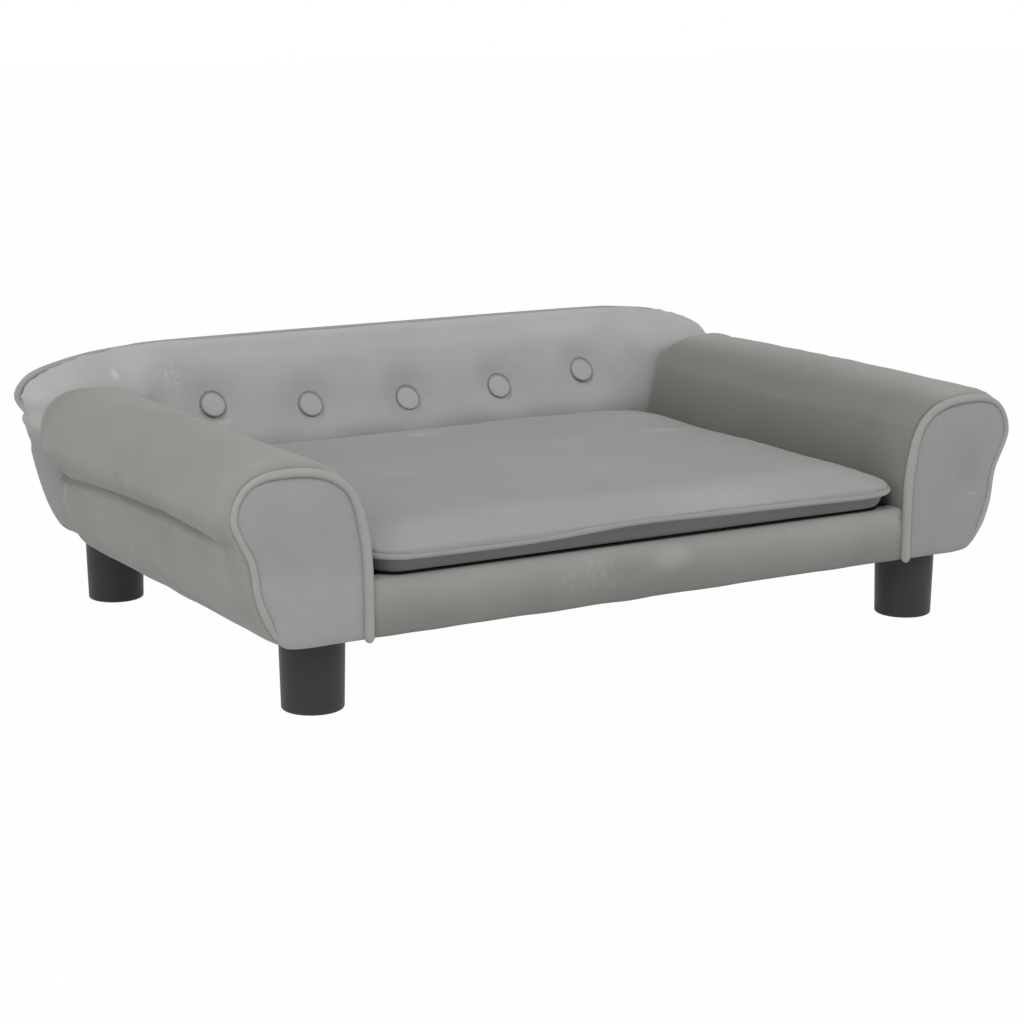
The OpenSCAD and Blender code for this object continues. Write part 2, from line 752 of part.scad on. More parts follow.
module button_ties() {
    color(lining_colour) difference() {
        tie_line(tie_d);
        at_buttons() translate([0, 0, -clear / 2]) cylinder(d = button_d, h = back_t);
    }
}

module button_washers() {
    color(steel_colour) for (b = button_xs) let (z = button_h + row_rise(b))
        translate([b, rear_y - rear_cover_t - clear, leg_h + z]) rotate([90, 0, 0])
            difference() {
                cylinder(d = washer_d, h = washer_t);
                translate([0, 0, -cut]) cylinder(d = tie_d + 2 * clear, h = washer_t + 2 * cut);
            }
}

// Cushion

cushion_mid_y = (cushion_front_y + cushion_rear_y) / 2;
cushion_half_d = (cushion_rear_y - cushion_front_y) / 2;
seam_z = cushion_z + cushion_t - cushion_piping_d / 2;
cushion_corner_steps = 6;

// A rounded rectangle ring, drawn in by inset at height z
function cushion_ring(inset, z) =
    let (r = max(cushion_r - inset, cushion_r / 5),
        cx = cushion_half - inset - r, cy = cushion_half_d - inset - r,
        n = cushion_corner_steps)
    [for (q = [0 : 3], k = [0 : n])
        let (a = 90 * q + 90 * k / n,
            sx = (q == 0 || q == 3) ? 1 : -1, sy = q < 2 ? 1 : -1)
        [sx * cx + r * cos(a), cushion_mid_y + sy * cy + r * sin(a), z]];

// Rings of the cushion: how far each is drawn in, and its height above the cushion's underside
piping_gap = cushion_piping_d + clear;
crown_inset_shares = [1.2, 2, 3.4, 6.4, 12, 20, 28];
crown_shares = [0.2, 0.42, 0.6, 0.76, 0.88, 0.96, 1];
cushion_rings = concat(
    [[base_cloth_inset + clear, base_cloth_t + clear], [band_inset * 1.8, base_cloth_t + clear],
        [band_inset, cushion_t * 0.2], [band_inset, cushion_t * 0.62],
        [piping_gap, cushion_t * 0.7], [piping_gap, cushion_t + clear]],
    [for (i = [0 : len(crown_shares) - 1])
        [piping_gap * crown_inset_shares[i], cushion_t + cushion_crown * crown_shares[i]]]);

module cushion_cover() {
    color(velvet) difference() {
        loft([for (r = cushion_rings) cushion_ring(r[0], cushion_z + r[1])]);
        cushion_block(foam_inset, foam_edge, cushion_t);
    }
}

// A rounded block that stays inset from the cushion's sides
module cushion_block(inset, low, high) {
    r = cushion_r - inset;
    translate([0, cushion_mid_y, cushion_z + low]) linear_extrude(high - low) {
        square([2 * (cushion_half - inset), 2 * (cushion_half_d - inset - r)], center = true);
        square([2 * (cushion_half - inset - r), 2 * (cushion_half_d - inset)], center = true);
        for (sx = [-1, 1], sy = [-1, 1])
            translate([sx * (cushion_half - inset - r), sy * (cushion_half_d - inset - r)])
                circle(r = r);
    }
}

module cushion_foam() {
    color(foam_colour) cushion_block(foam_inset + clear, foam_edge + clear, cushion_t - clear);
}

module cushion_base_cloth() {
    color(lining_colour) cushion_block(base_cloth_inset, 0, base_cloth_t);
}

module cushion_piping() {
    r = cushion_piping_d / 2;
    bend = cushion_r - r;
    cx = cushion_half - r - bend;
    cy = cushion_half_d - r - bend;
    color(velvet) translate([0, cushion_mid_y, seam_z]) {
        for (q = [0 : 3]) {
            sx = (q == 0 || q == 3) ? 1 : -1;
            sy = q < 2 ? 1 : -1;
            translate([sx * cx, sy * cy, 0]) rotate([0, 0, 90 * q])
                rotate_extrude(angle = 90) translate([bend, 0]) circle(r = r);
        }
        for (s = [-1, 1]) {
            translate([s * (cushion_half - r), cy, 0]) rotate([90, 0, 0])
                cylinder(r = r, h = 2 * cy);
            translate([-cx, s * (cushion_half_d - r), 0]) rotate([0, 90, 0])
                cylinder(r = r, h = 2 * cx);
        }
    }
}

band_y = cushion_rear_y - band_inset;
zip_z = cushion_z + cushion_t * 0.41;
slider_rest_x = zip_l / 2 - slider_l - tab_l;

module zip_tape() {
    color(lining_colour) {
        translate([-zip_l / 2, band_y + clear, zip_z - tape_h / 2])
            cube([zip_l, tape_t, tape_h]);
        translate([-zip_l / 2, band_y + clear + tape_t, zip_z - coil_h / 2])
            cube([zip_l, coil_t, coil_h]);
    }
}

module zip_slider() {
    y0 = band_y + clear + tape_t + clear;
    color(steel_colour) difference() {
        union() {
            translate([slider_rest_x, y0, zip_z - slider_h / 2])
                cube([slider_l, coil_t + slider_t, slider_h]);
            translate([slider_rest_x + slider_l / 2, y0 + coil_t + slider_t, zip_z - tab_h / 2])
                cube([tab_l, tab_t, tab_h]);
        }
        translate([slider_rest_x - cut, y0 - cut, zip_z - coil_h / 2 - clear])
            cube([slider_l + 2 * cut, coil_t + cut, coil_h + 2 * clear]);
    }
}

leg_front_left();
leg_front_right();
leg_rear_left();
leg_rear_right();
leg_bolts();
leg_tee_nuts();
base_front_rail();
base_rear_rail();
base_left_rail();
base_right_rail();
base_centre_brace();
seat_deck();
deck_cloth();
front_rail_cover();
dust_cover();
left_arm_cover();
left_arm_foam();
left_arm_front_former();
left_arm_rear_former();
left_arm_slats();
left_arm_inner_board();
left_arm_bottom_board();
left_arm_front_panel();
left_arm_piping();
right_arm_cover();
right_arm_foam();
right_arm_front_former();
right_arm_rear_former();
right_arm_slats();
right_arm_inner_board();
right_arm_bottom_board();
right_arm_front_panel();
right_arm_piping();
arm_bolts();
arm_tee_nuts();
back_pad();
back_board();
back_rear_cover();
back_piping();
back_bolts();
tuft_buttons();
button_ties();
button_washers();
cushion_cover();
cushion_foam();
cushion_piping();
cushion_base_cloth();
zip_tape();
zip_slider();
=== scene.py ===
import functools
import json
import math

import bpy
import numpy as np
from bpy import ops
from mathutils import Matrix, Vector, noise


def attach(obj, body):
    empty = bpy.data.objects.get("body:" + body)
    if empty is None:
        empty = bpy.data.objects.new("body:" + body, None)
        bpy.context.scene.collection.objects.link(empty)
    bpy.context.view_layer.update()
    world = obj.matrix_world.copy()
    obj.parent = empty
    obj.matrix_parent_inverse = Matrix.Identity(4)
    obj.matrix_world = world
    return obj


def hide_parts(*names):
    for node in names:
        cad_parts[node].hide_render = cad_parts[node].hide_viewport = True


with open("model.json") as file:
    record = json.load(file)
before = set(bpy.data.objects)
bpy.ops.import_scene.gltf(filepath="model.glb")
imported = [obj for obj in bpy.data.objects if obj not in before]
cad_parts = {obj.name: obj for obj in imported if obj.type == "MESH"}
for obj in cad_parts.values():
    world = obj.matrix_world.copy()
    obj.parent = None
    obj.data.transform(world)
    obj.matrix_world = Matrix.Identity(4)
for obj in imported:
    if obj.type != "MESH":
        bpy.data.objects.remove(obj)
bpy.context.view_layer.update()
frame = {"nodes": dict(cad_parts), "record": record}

scene = bpy.context.scene

# Sizes in metres, the same as the solids: x to the right, the front at -y, z up from the floor.
# Heights within an arm, the back or a cloth count from the underside unless their name says more.
FRONT, REAR = -0.287, 0.287
UNDERSIDE = 0.07
SEAT_HALF, ARM_WIDTH, ARM_HEIGHT = 0.308, 0.142, 0.175
CLOTH_HALF, CLOTH_FRONT = 0.3077, -0.2582
SLEEVE_FRONT, SLEEVE_REAR = -0.2777, 0.2027
BACK_FACE, PAD_REAR, PAD_HEIGHT = 0.203, 0.2709, 0.205
BACK_HALF, BACK_RISE, BACK_LEAN = 0.445, 0.2025, 0.058
PIPING = 0.009
BUTTON_PITCH, BUTTON_HEIGHT, BUTTON_RISE, BUTTON_WIDTH = 0.118, 0.1206, 0.0125, 0.028
CUSHION_HALF, CUSHION_FRONT, CUSHION_REAR = 0.3065, -0.287, 0.2015
CUSHION_BASE, CUSHION_EDGE, CUSHION_CORNER, CUSHION_PIPING = 0.1243, 0.025, 0.038, 0.007


# Curves and small helpers

def unit(t):
    """Held between 0 and 1."""
    return np.clip(t, 0, 1)


def smooth(t):
    """0 up to 0, 1 from 1 on, and an even S between."""
    t = unit(t)
    return t * t * (3 - 2 * t)


def hump(distance, width):
    """1 at no distance, fading to nothing a little past its width."""
    return np.exp(-(distance / width) ** 2)


def mix(a, b, t):
    return a + (b - a) * t


def curve(points, steps):
    """Catmull-Rom curve through a list of points."""
    p = np.array(points, float)
    n = len(p)
    out = []
    for k in range((n - 1) * steps + 1):
        i = min(k // steps, n - 2)
        t = k / steps - i
        a, b, c, d = p[max(i - 1, 0)], p[i], p[i + 1], p[min(i + 2, n - 1)]
        out.append((2 * b + (c - a) * t + (2 * a - 5 * b + 4 * c - d) * t * t
                    + (3 * b - a - 3 * c + d) * t ** 3) / 2)
    return np.array(out)


def along(points, u):
    """Points at shares u of the length of a line of points."""
    step = np.linalg.norm(np.diff(points, axis=0), axis=1)
    s = np.concatenate([[0], np.cumsum(step)])
    return np.stack([np.interp(u * s[-1], s, points[:, k]) for k in range(points.shape[1])], 1)


def closed(points):
    """A line of points led back to its start."""
    return np.concatenate([points, points[:1]])


def inward(points, distance):
    """A clockwise line of points moved in square to itself."""
    t = np.gradient(points, axis=0)
    t /= np.linalg.norm(t, axis=1)[:, None]
    return points + np.stack([t[:, 1], -t[:, 0]], 1) * np.asarray(distance).reshape(-1, 1)


def stretched_face(outline, middle, rim, fullness, power, u, v):
    """A face over an outline: its points, on it up to the rim and then in to the middle, and
    how far they swell."""
    k = unit((v - rim) / (1 - rim))
    points = middle + (along(outline, u) - middle) * (1 - k)[:, None]
    return points, fullness * np.sqrt(unit(1 - (1 - k) ** power))


def alone(piece):
    ops.object.select_all(action="DESELECT")
    piece.select_set(True)
    bpy.context.view_layer.objects.active = piece


def primitive(name, kind, **settings):
    """A new primitive under its own name, with nothing else selected."""
    ops.object.select_all(action="DESELECT")
    getattr(ops.mesh, f"primitive_{kind}_add")(**settings)
    piece = bpy.context.object
    piece.name = piece.data.name = name
    return piece


def edit(piece, *steps):
    """Runs edit operators on the whole mesh."""
    alone(piece)
    ops.object.mode_set(mode="EDIT")
    ops.mesh.select_mode(type="VERT")
    ops.mesh.select_all(action="SELECT")
    for step in steps:
        step()
    ops.object.mode_set(mode="OBJECT")
    return piece


def given(thing, **settings):
    """Sets several properties at once."""
    for key, value in settings.items():
        setattr(thing, key, value)
    return thing


def modify(piece, kind, **settings):
    """Adds one modifier and applies it."""
    alone(piece)
    m = given(piece.modifiers.new(kind.lower(), kind), **settings)
    ops.object.modifier_apply(modifier=m.name)


def added(name, data):
    piece = bpy.data.objects.new(name, data)
    scene.collection.objects.link(piece)
    return piece


def cut_out(piece, cutter):
    modify(piece, "BOOLEAN", operation="DIFFERENCE", solver="EXACT", object=cutter)
    bpy.data.objects.remove(cutter)


def places(piece, what="co"):
    """The places of a mesh's points, or their normals."""
    found = np.empty(len(piece.data.vertices) * 3)
    piece.data.vertices.foreach_get(what, found)
    return found.reshape(-1, 3)


def move_to(piece, co):
    piece.data.vertices.foreach_set("co", np.asarray(co, float).ravel())
    piece.data.update()
    return piece


def close_up(piece):
    """Joins the seam of a wrapped grid, closes its ends and turns its faces outwards."""
    return edit(piece,
                lambda: ops.mesh.remove_doubles(threshold=0.00002),
                lambda: ops.mesh.fill_holes(sides=0),
                lambda: ops.mesh.normals_make_consistent(inside=False))


def wrapped(name, across, lengthways, place):
    """A grid wrapped onto a form: place(u, v) gives its points for u and v from 0 to 1."""
    piece = primitive(name, "grid", x_subdivisions=across, y_subdivisions=lengthways, size=2)
    co = places(piece)
    move_to(piece, place((co[:, 0] + 1) / 2, (co[:, 1] + 1) / 2))
    return close_up(piece)


def cord_round(name, path, radius, cyclic=False, taper=None):
    """A round piping cord along a path, made a mesh; taper gives its thickness as shares."""
    line = given(bpy.data.curves.new(name, "CURVE"), dimensions="3D", bevel_depth=radius,
                 bevel_resolution=5, use_fill_caps=True)
    spline = line.splines.new("POLY")
    spline.points.add(len(path) - 1)
    for point, p in zip(spline.points, path):
        point.co = (*p, 1)
    if taper is not None:
        spline.points.foreach_set("radius", taper)
    spline.use_cyclic_u = cyclic
    alone(added(name, line))
    ops.object.convert(target="MESH")
    return shade(close_up(bpy.context.object))


def shade(piece, angle=40):
    alone(piece)
    ops.object.shade_smooth_by_angle(angle=math.radians(angle))
    return piece


def mirrored(piece, name):
    """A copy on the other side of the sofa, with its faces turned outwards again."""
    twin = added(name, piece.data.copy())
    twin.data.name = name
    co = places(twin)
    co[:, 0] *= -1
    move_to(twin, co)
    return edit(twin, lambda: ops.mesh.flip_normals())


def drift(co, size, seed):
    """Slow noise at each point, about -1 to 1, for cloth that is never quite even."""
    shift = Vector((seed * 3.7, seed * 1.3, seed * 5.1))
    return np.array([noise.noise(Vector(c) / size + shift) for c in co]) * 2


LAST_FRAME = 20


def swell(piece, voxel, cap, hold):
    """Stuffs a closed form: even voxels, then cloth under pressure. No point moves further
    than the cap times hold(points)."""
    modify(piece, "REMESH", mode="VOXEL", voxel_size=voxel, use_smooth_shade=True)
    start = places(piece)
    limit = cap * hold(start)
    cloth = piece.modifiers.new("stuffing", "CLOTH")
    cloth.settings.effector_weights.gravity = 0
    given(cloth.settings, quality=5, mass=0.3, use_pressure=True, uniform_pressure_force=4,
          tension_stiffness=12, compression_stiffness=12, shear_stiffness=6,
          bending_stiffness=1.5)
    cloth.collision_settings.use_collision = False
    for frame_number in range(1, LAST_FRAME + 1):
        scene.frame_set(frame_number)
    alone(piece)
    ops.object.modifier_apply(modifier="stuffing")
    scene.frame_set(1)
    move = places(piece) - start
    length = np.linalg.norm(move, axis=1)
    move *= (np.minimum(length, limit) / np.maximum(length, 1e-9))[:, None]
    move_to(piece, start + move)
    modify(piece, "SUBSURF", levels=1, render_levels=1)


def settle(piece, rounds):
    """Evens out the small steps of the voxels."""
    modify(piece, "SMOOTH", factor=0.5, iterations=rounds)


def refine(piece, near):
    """Halves the faces whose points near(points) picks, for a crisp fold or seam."""
    edit(piece, lambda: ops.mesh.select_all(action="DESELECT"))
    piece.data.vertices.foreach_set("select", near(places(piece)))
    alone(piece)
    ops.object.mode_set(mode="EDIT")
    ops.mesh.select_mode(type="VERT")
    ops.mesh.subdivide(number_cuts=1)
    ops.object.mode_set(mode="OBJECT")


def press(piece, depth):
    """Moves each point in along its normal by depth(points)."""
    co = places(piece)
    return move_to(piece, co - places(piece, "normal") * depth(co)[:, None])


# Arms: a stuffed sleeve with a scrolled section, a domed front panel and a corded edge

ARM_OUTLINE = curve([[0, 0], [0, 0.15], [0, 0.3], [0.004, 0.42], [0.022, 0.56], [0.048, 0.665],
                     [0.082, 0.765], [0.13, 0.85], [0.195, 0.908], [0.28, 0.953], [0.39, 0.983],
                     [0.5, 0.997], [0.61, 1], [0.72, 0.994], [0.82, 0.97], [0.9, 0.93],
                     [0.955, 0.876], [0.988, 0.815], [1, 0.75], [0.989, 0.7], [0.966, 0.653],
                     [0.937, 0.605], [0.908, 0.558], [0.882, 0.512], [0.866, 0.462],
                     [0.857, 0.413], [0.85, 0.361], [0.839, 0.31], [0.822, 0.262],
                     [0.799, 0.21], [0.771, 0.157], [0.737, 0.103], [0.696, 0.053],
                     [0.644, 0.017], [0.58, 0.003], [0.5, 0]], 6)
FOLD_Y = np.array([-0.267, -0.201, -0.109, -0.01, 0.083, 0.16, 0.198])
FOLD_Z = np.array([0.166, 0.1664, 0.168, 0.1646, 0.1596, 0.1526, 0.1516])
SHOULDER, DOME = 0.032, 0.016
SLEEVE_LENGTH = SLEEVE_REAR - SLEEVE_FRONT


def sleeve(u, v):
    """An arm's sleeve: u runs round its section, v from the front seam to the rear end."""
    shoulder, dome = 0.16, 0.86
    a = np.radians(90) * unit(v / shoulder)
    b = np.radians(90) * unit((v - dome) / (1 - dome))
    middle = mix(SHOULDER, SLEEVE_LENGTH - DOME, unit((v - shoulder) / (dome - shoulder)))
    s = np.where(v < shoulder, SHOULDER * (1 - np.cos(a)),
                 np.where(v > dome, SLEEVE_LENGTH - DOME * (1 - np.sin(b)), middle))
    small = np.where(v < shoulder, 0.0046 * (1 - np.sin(a)), 0.0055 * (1 - np.cos(b))) + 0.002
    lower = small + np.where(v < shoulder, 0.0035 * (1 - np.sin(a)), 0)
    section = along(closed(ARM_OUTLINE), u)
    return np.stack([SEAT_HALF + small * 0.3 + section[:, 0] * (ARM_WIDTH - small * 1.2),
                     SLEEVE_FRONT + s,
                     UNDERSIDE + small * 0.2 + section[:, 1] * (ARM_HEIGHT - lower)], 1)


def sleeve_hold(co):
    """Where the sleeve may swell: least at its ends, its foot and the seat."""
    s, z = co[:, 1] - SLEEVE_FRONT, co[:, 2] - UNDERSIDE
    ends = smooth((s - 0.004) / 0.035) * smooth((SLEEVE_LENGTH - s - 0.002) / 0.03)
    seat_side = 1 - smooth((co[:, 0] - SEAT_HALF - 0.002) / 0.02)
    return ends * smooth((z - 0.002) / 0.03) * (1 - 0.95 * seat_side * smooth((0.125 - z) / 0.045))


def fold_gap(co):
    """How far above the fold under the roll each point lies."""
    return co[:, 2] - np.interp(co[:, 1], FOLD_Y, FOLD_Z)


def outer_side(co):
    return smooth((co[:, 0] - SEAT_HALF - 0.085) / 0.02)


def sleeve_fold(co):
    """The tuck under the roll outside, with a full roll above and flank below it."""
    d, y = fold_gap(co), co[:, 1]
    groove = 0.0034 * hump(d, 0.0022) + 0.0028 * hump(d, np.where(d > 0, 0.0115, 0.004))
    roll = -0.0014 * hump(d - 0.026, 0.011)
    flank = -0.0012 * hump(d + 0.02, 0.014)
    nick = -0.0016 * hump(d + 0.004, 0.0026) * hump(y - 0.15, 0.0034)
    ends = 0.15 + 0.85 * smooth((y - SLEEVE_FRONT - 0.01) / 0.11)
    return (groove + roll + flank + nick) * outer_side(co) * ends


def toward_seat(x, z):
    """How far an arm's front edge leans over the seat, low down inside."""
    return 0.0012 * (1 - smooth((z - 0.112) / 0.04)) * (1 - smooth((x - 0.012) / 0.05))


def arm_sleeve():
    body = wrapped("right_arm_sleeve", 140, 110, sleeve)
    swell(body, voxel=0.0052, cap=0.0042, hold=sleeve_hold)
    settle(body, 3)
    refine(body, lambda co: (np.abs(fold_gap(co)) < 0.009) & (outer_side(co) > 0))
    press(body, sleeve_fold)
    press(body, lambda co: -0.0005 * drift(co, size=0.05, seed=3))
    return shade(body, 60)


# The front panel's outline, from its inner foot up, over the roll and down its outer side, with
# the radius of the piping round it, which tapers toward the outer foot
PANEL_OUTLINE = ARM_OUTLINE * [ARM_WIDTH - 0.004, ARM_HEIGHT - 0.0082]
PANEL_OUTER = np.arange(len(PANEL_OUTLINE)) > len(PANEL_OUTLINE) // 2
FULL_RADIUS = 0.0041
PIPING_RADIUS = FULL_RADIUS - 0.0012 * smooth((PANEL_OUTLINE[:, 0] - 0.085) / 0.045) \
    + np.where(PANEL_OUTER, -0.0014 * (1 - smooth((PANEL_OUTLINE[:, 1] - 0.002) / 0.03)),
               0.0009 * (1 - smooth((PANEL_OUTLINE[:, 1] - 0.09) / 0.05)))


def panel_edge():
    """The panel's own edge, tucked in behind the piping, with a square inner foot."""
    foot = 0.0005
    behind = mix(0.25, 1.6, smooth((PANEL_OUTLINE[:, 1] - 0.0015) / 0.022))
    edge = inward(PANEL_OUTLINE, PIPING_RADIUS * np.where(PANEL_OUTER, behind, 1.6))
    edge = np.concatenate([[[0.0075, foot]], edge[edge[:, 1] > 0.0009], [[edge[-1][0], foot]]])
    edge[:, 0] -= toward_seat(edge[:, 0], edge[:, 1])
    return closed(edge)


def arm_panel():
    """The domed front panel: a short wall round its edge, then a full face."""
    edge = panel_edge()
    centre = np.array([0.5 * ARM_WIDTH, 0.56 * ARM_HEIGHT])
    wall, wall_front, wall_rear = 0.12, 0.0062, 0.0087

    def panel(u, v):
        p, dome = stretched_face(edge, centre, wall, 0.005, 3.6, u, v)
        y = np.where(v < wall, mix(wall_rear, wall_front, v / wall), wall_front - dome)
        return np.stack([SEAT_HALF + p[:, 0], FRONT + y, UNDERSIDE + p[:, 1]], 1)

    face = shade(wrapped("right_arm_panel", 190, 26, panel), 50)
    return press(face, lambda co: -0.0003 * drift(co, size=0.03, seed=9))


def arm_cord():
    """The piping round a front panel, square at its inner foot and thin at its outer."""
    keep = np.where(PANEL_OUTER, PANEL_OUTLINE[:, 1] > 0.0042, True)
    line = np.column_stack([inward(PANEL_OUTLINE, PIPING_RADIUS), PIPING_RADIUS])[keep]
    line = along(line, np.linspace(0, 1, 190))
    line[-14:, 2] *= np.linspace(1, 0.5, 14)
    start = line[0][0]
    line = np.concatenate([[[start, -0.0008, 0.0024], [start, -0.0002, 0.004],
                            [start, 0.001, 0.0048]], line[line[:, 1] > 0.0018]])
    x = line[:, 0] - toward_seat(line[:, 0], line[:, 1])
    path = np.stack([SEAT_HALF + x, FRONT + 0.005 + (FULL_RADIUS - line[:, 2]) * 0.5,
                     UNDERSIDE + line[:, 1]], 1)
    path += np.stack([drift(path, 0.06, 2), drift(path, 0.06, 5) * 0.5, np.zeros(len(path))],
                     1) * 0.0004
    return cord_round("right_arm_piping_cord", path, 1.0, taper=line[:, 2])


def arm_pieces():
    right = [arm_sleeve(), arm_panel(), arm_cord()]
    names = ["left_arm_sleeve", "left_arm_panel", "left_arm_piping_cord"]
    return {"right": right, "left": [mirrored(p, n) for p, n in zip(right, names)]}


# Back: a tufted pad that rolls over at the crest and out at the ears, corded along its rear edge

CREST = curve([[0, 1], [0.33, 1], [0.63, 0.996], [0.72, 0.983], [0.81, 0.963], [0.88, 0.932],
               [0.935, 0.89], [0.978, 0.838], [1, 0.765], [0.987, 0.682], [0.966, 0.605]], 8)
SIDE = curve([[0.966, 0.605], [0.957, 0.54], [0.947, 0.43], [0.931, 0.29], [0.91, 0.155],
              [0.882, 0.045], [0.85, 0]], 8)
BACK_OUTLINE = np.concatenate([CREST, SIDE[1:]]) * [BACK_HALF, BACK_RISE]
NECK = 0.605 * BACK_RISE
LEAN = curve([[0, 0], [0.36, 0], [0.42, 0], [0.48, 0.07], [0.53, 0.2], [0.585, 0.36],
              [0.63, 0.44], [0.7, 0.55], [0.78, 0.66], [0.86, 0.77], [0.92, 0.86], [0.96, 0.92],
              [0.985, 0.965], [1, 1]], 5)
WING = curve([[0, 0], [0.5, 0], [0.63, 0.04], [0.74, 0.15], [0.8, 0.26], [0.87, 0.47],
              [0.92, 0.68], [0.96, 0.85], [0.985, 0.94], [1, 1]], 5)
# each button sits where the hand that tufted it put it, a little off the even pitch
BUTTON_XS = [k * BUTTON_PITCH + off for k, off in ((-2, 0.001), (-1, -0.0012), (0, 0.0022),
                                                   (1, 0.0052), (2, 0.0026))]


def row_rise(x):
    """How much higher than the middle one a button at x sits."""
    return BUTTON_RISE * (x / (2 * BUTTON_PITCH)) ** 2


def half_at(z):
    """Half the width of the back at a height."""
    table = BACK_OUTLINE[16:][::-1]  # without the level start of the crest
    return np.interp(z, table[:, 1], table[:, 0])


def above_neck(z):
    return smooth((z - NECK + 3 * PIPING) / (2 * PIPING))


def face_at(x, z):
    """The y of the back's face, which leans back toward the crest and the ears."""
    s = z / PAD_HEIGHT
    wing = smooth((np.abs(x) - SEAT_HALF + 0.024) / 0.044)
    return BACK_FACE + BACK_LEAN * mix(np.interp(s, LEAN[:, 0], LEAN[:, 1]),
                                       np.interp(s, WING[:, 0], WING[:, 1]), wing)


def from_button(x, z):
    """The distance to the nearest button."""
    return np.min([np.hypot(x - b, z - BUTTON_HEIGHT - row_rise(b)) for b in BUTTON_XS], axis=0)


def pad(u, v):
    """The back's padding: u runs over the face and round behind, v from foot to crest."""
    z = (PAD_HEIGHT - 0.001) * (1 - (1 - v) ** 1.4)
    low = 1 - smooth((z - NECK - 0.006) / 0.016)
    half = half_at(z * BACK_RISE / PAD_HEIGHT) - 0.0048 * (1 - low) + 0.0006 * low
    ear = smooth((z - NECK) / (2 * PIPING))
    round_x = np.minimum(mix(0.014, 0.062, ear), 0.6 * (half - 0.26))
    power = mix(0.35, 1, ear)
    stay = half - round_x
    flare = 0.0028 + 0.0008 * hump(z - NECK, 0.014)
    front, turn = 0.7, 0.72
    w = np.abs(u / front - 0.5) * 2
    a = np.radians(90) * unit((w - turn) / (1 - turn))
    x = np.where(w < turn, stay * w / turn, stay + round_x * np.sin(a) ** power)
    x += low * smooth((a - 0.9) / 0.6) * flare
    dimple = 0.0045 * hump(from_button(x * np.sign(u / front - 0.5), z), 0.019)
    rear = mix(PAD_REAR, REAR - 0.0012, low)
    y = mix(face_at(x, z) + dimple, rear, 1 - np.cos(a) ** power)
    behind = u > front
    x = np.where(behind, (half + low * flare) * (1 - 2 * (u - front) / (1 - front)),
                 np.sign(u / front - 0.5) * x)
    return np.stack([x, np.where(behind, rear, y), UNDERSIDE + z], 1)


def pad_hold(co):
    """Where the back may swell: not behind, at its foot, by the arms or at a button."""
    x, y, z = (co - [0, 0, UNDERSIDE]).T
    front = smooth((PAD_REAR - 0.002 - y) / 0.014)
    low = smooth((z - 0.06) / 0.05)
    behind_arm = 1 - 0.95 * smooth((np.abs(x) - 0.29) / 0.02) * smooth((0.165 - z) / 0.03)
    return front * low * behind_arm * smooth((from_button(x, z) - 0.014) / 0.03)


def button_pit(co):
    """Each button sits in a tight pit, with a few soft pulls in the cloth round it."""
    x, y, z = (co - [0, 0, UNDERSIDE]).T
    depth = 0.0021 * smooth((0.0162 - from_button(x, z)) / 0.0022)
    for k, b in enumerate(BUTTON_XS):
        dx, dz = x - b, z - BUTTON_HEIGHT - row_rise(b)
        r, turn = np.hypot(dx, dz), np.arctan2(dz, dx)
        for n in range(4):
            aim = math.radians(90 * n + 31 * k + 25)
            reach = 0.028 + 0.008 * math.sin(3.1 * n + k)
            off = np.abs(np.angle(np.exp(1j * (turn - aim)))) * r
            depth += 0.0004 * hump(off, 0.0026) * smooth((reach - r) / 0.014) * (r > 0.012)
    return depth * (y < PAD_REAR - 0.006)


def rear_outline(extra):
    """The back's outline drawn in behind the piping and by extra, once round."""
    half = inward(BACK_OUTLINE, (PIPING + 0.0006) * above_neck(BACK_OUTLINE[:, 1]) + extra)
    return np.concatenate([half, half[::-1] * [-1, 1]])


def back_pad():
    body = wrapped("back_upholstery", 400, 110, pad)
    seat_gap = primitive("seat_gap", "cube", size=1, location=(0, 0.24, 0.0965))
    seat_gap.scale = (2 * SEAT_HALF, 0.2, 0.053)
    bpy.context.view_layer.update()
    cut_out(body, seat_gap)
    swell(body, voxel=0.0055, cap=0.0035, hold=pad_hold)
    settle(body, 3)
    for reach in (0.024, 0.019):
        refine(body, lambda co: (from_button(co[:, 0], co[:, 2] - UNDERSIDE) < reach)
               & (co[:, 1] < PAD_REAR - 0.006))
    press(body, button_pit)
    press(body, lambda co: -0.0005 * drift(co, size=0.06, seed=4) * (co[:, 1] < PAD_REAR - 0.002))
    return shade(body, 60)


def back_cord():
    """The piping along the crest and round both ears, which aren't sewn quite alike."""
    line = inward(BACK_OUTLINE, PIPING / 2)[:len(CREST)]
    lean = smooth((NECK + 0.028 - line[:, 1]) / 0.028)
    half = np.stack([line[:, 0], PAD_REAR + 0.0003 + PIPING / 2 - 0.022 * lean,
                     UNDERSIDE + line[:, 1] + 0.0014 * smooth((line[:, 1] - 0.15) / 0.04)], 1)
    path = along(np.concatenate([half[:0:-1] * [-1, 1, 1], half]), np.linspace(0, 1, 260))
    left_ear, right_ear = hump(path[:, 0] + 0.425, 0.022), hump(path[:, 0] - 0.4, 0.026)
    path[:, 2] += 0.003 * left_ear - 0.004 * right_ear
    return cord_round("back_piping_cord", path, PIPING / 2 - 0.0001)


def back_cloth():
    """The plain cloth behind, with a hem that closes over the edge of the board."""
    outline = closed(rear_outline(-0.0021))
    middle = np.array([0, 0.1])
    hem, hem_front, hem_rear = 0.1, REAR - 0.0072, REAR - 0.0015

    def rear(u, v):
        p, pull = stretched_face(outline, middle, hem, 0.0014, 8, u, v)
        y = np.where(v < hem, mix(hem_front, hem_rear, v / hem), hem_rear + pull)
        return np.stack([p[:, 0], y, UNDERSIDE + np.maximum(p[:, 1] * 0.998, 0.0002)], 1)

    return shade(wrapped("back_rear_cloth", 320, 30, rear), 50)


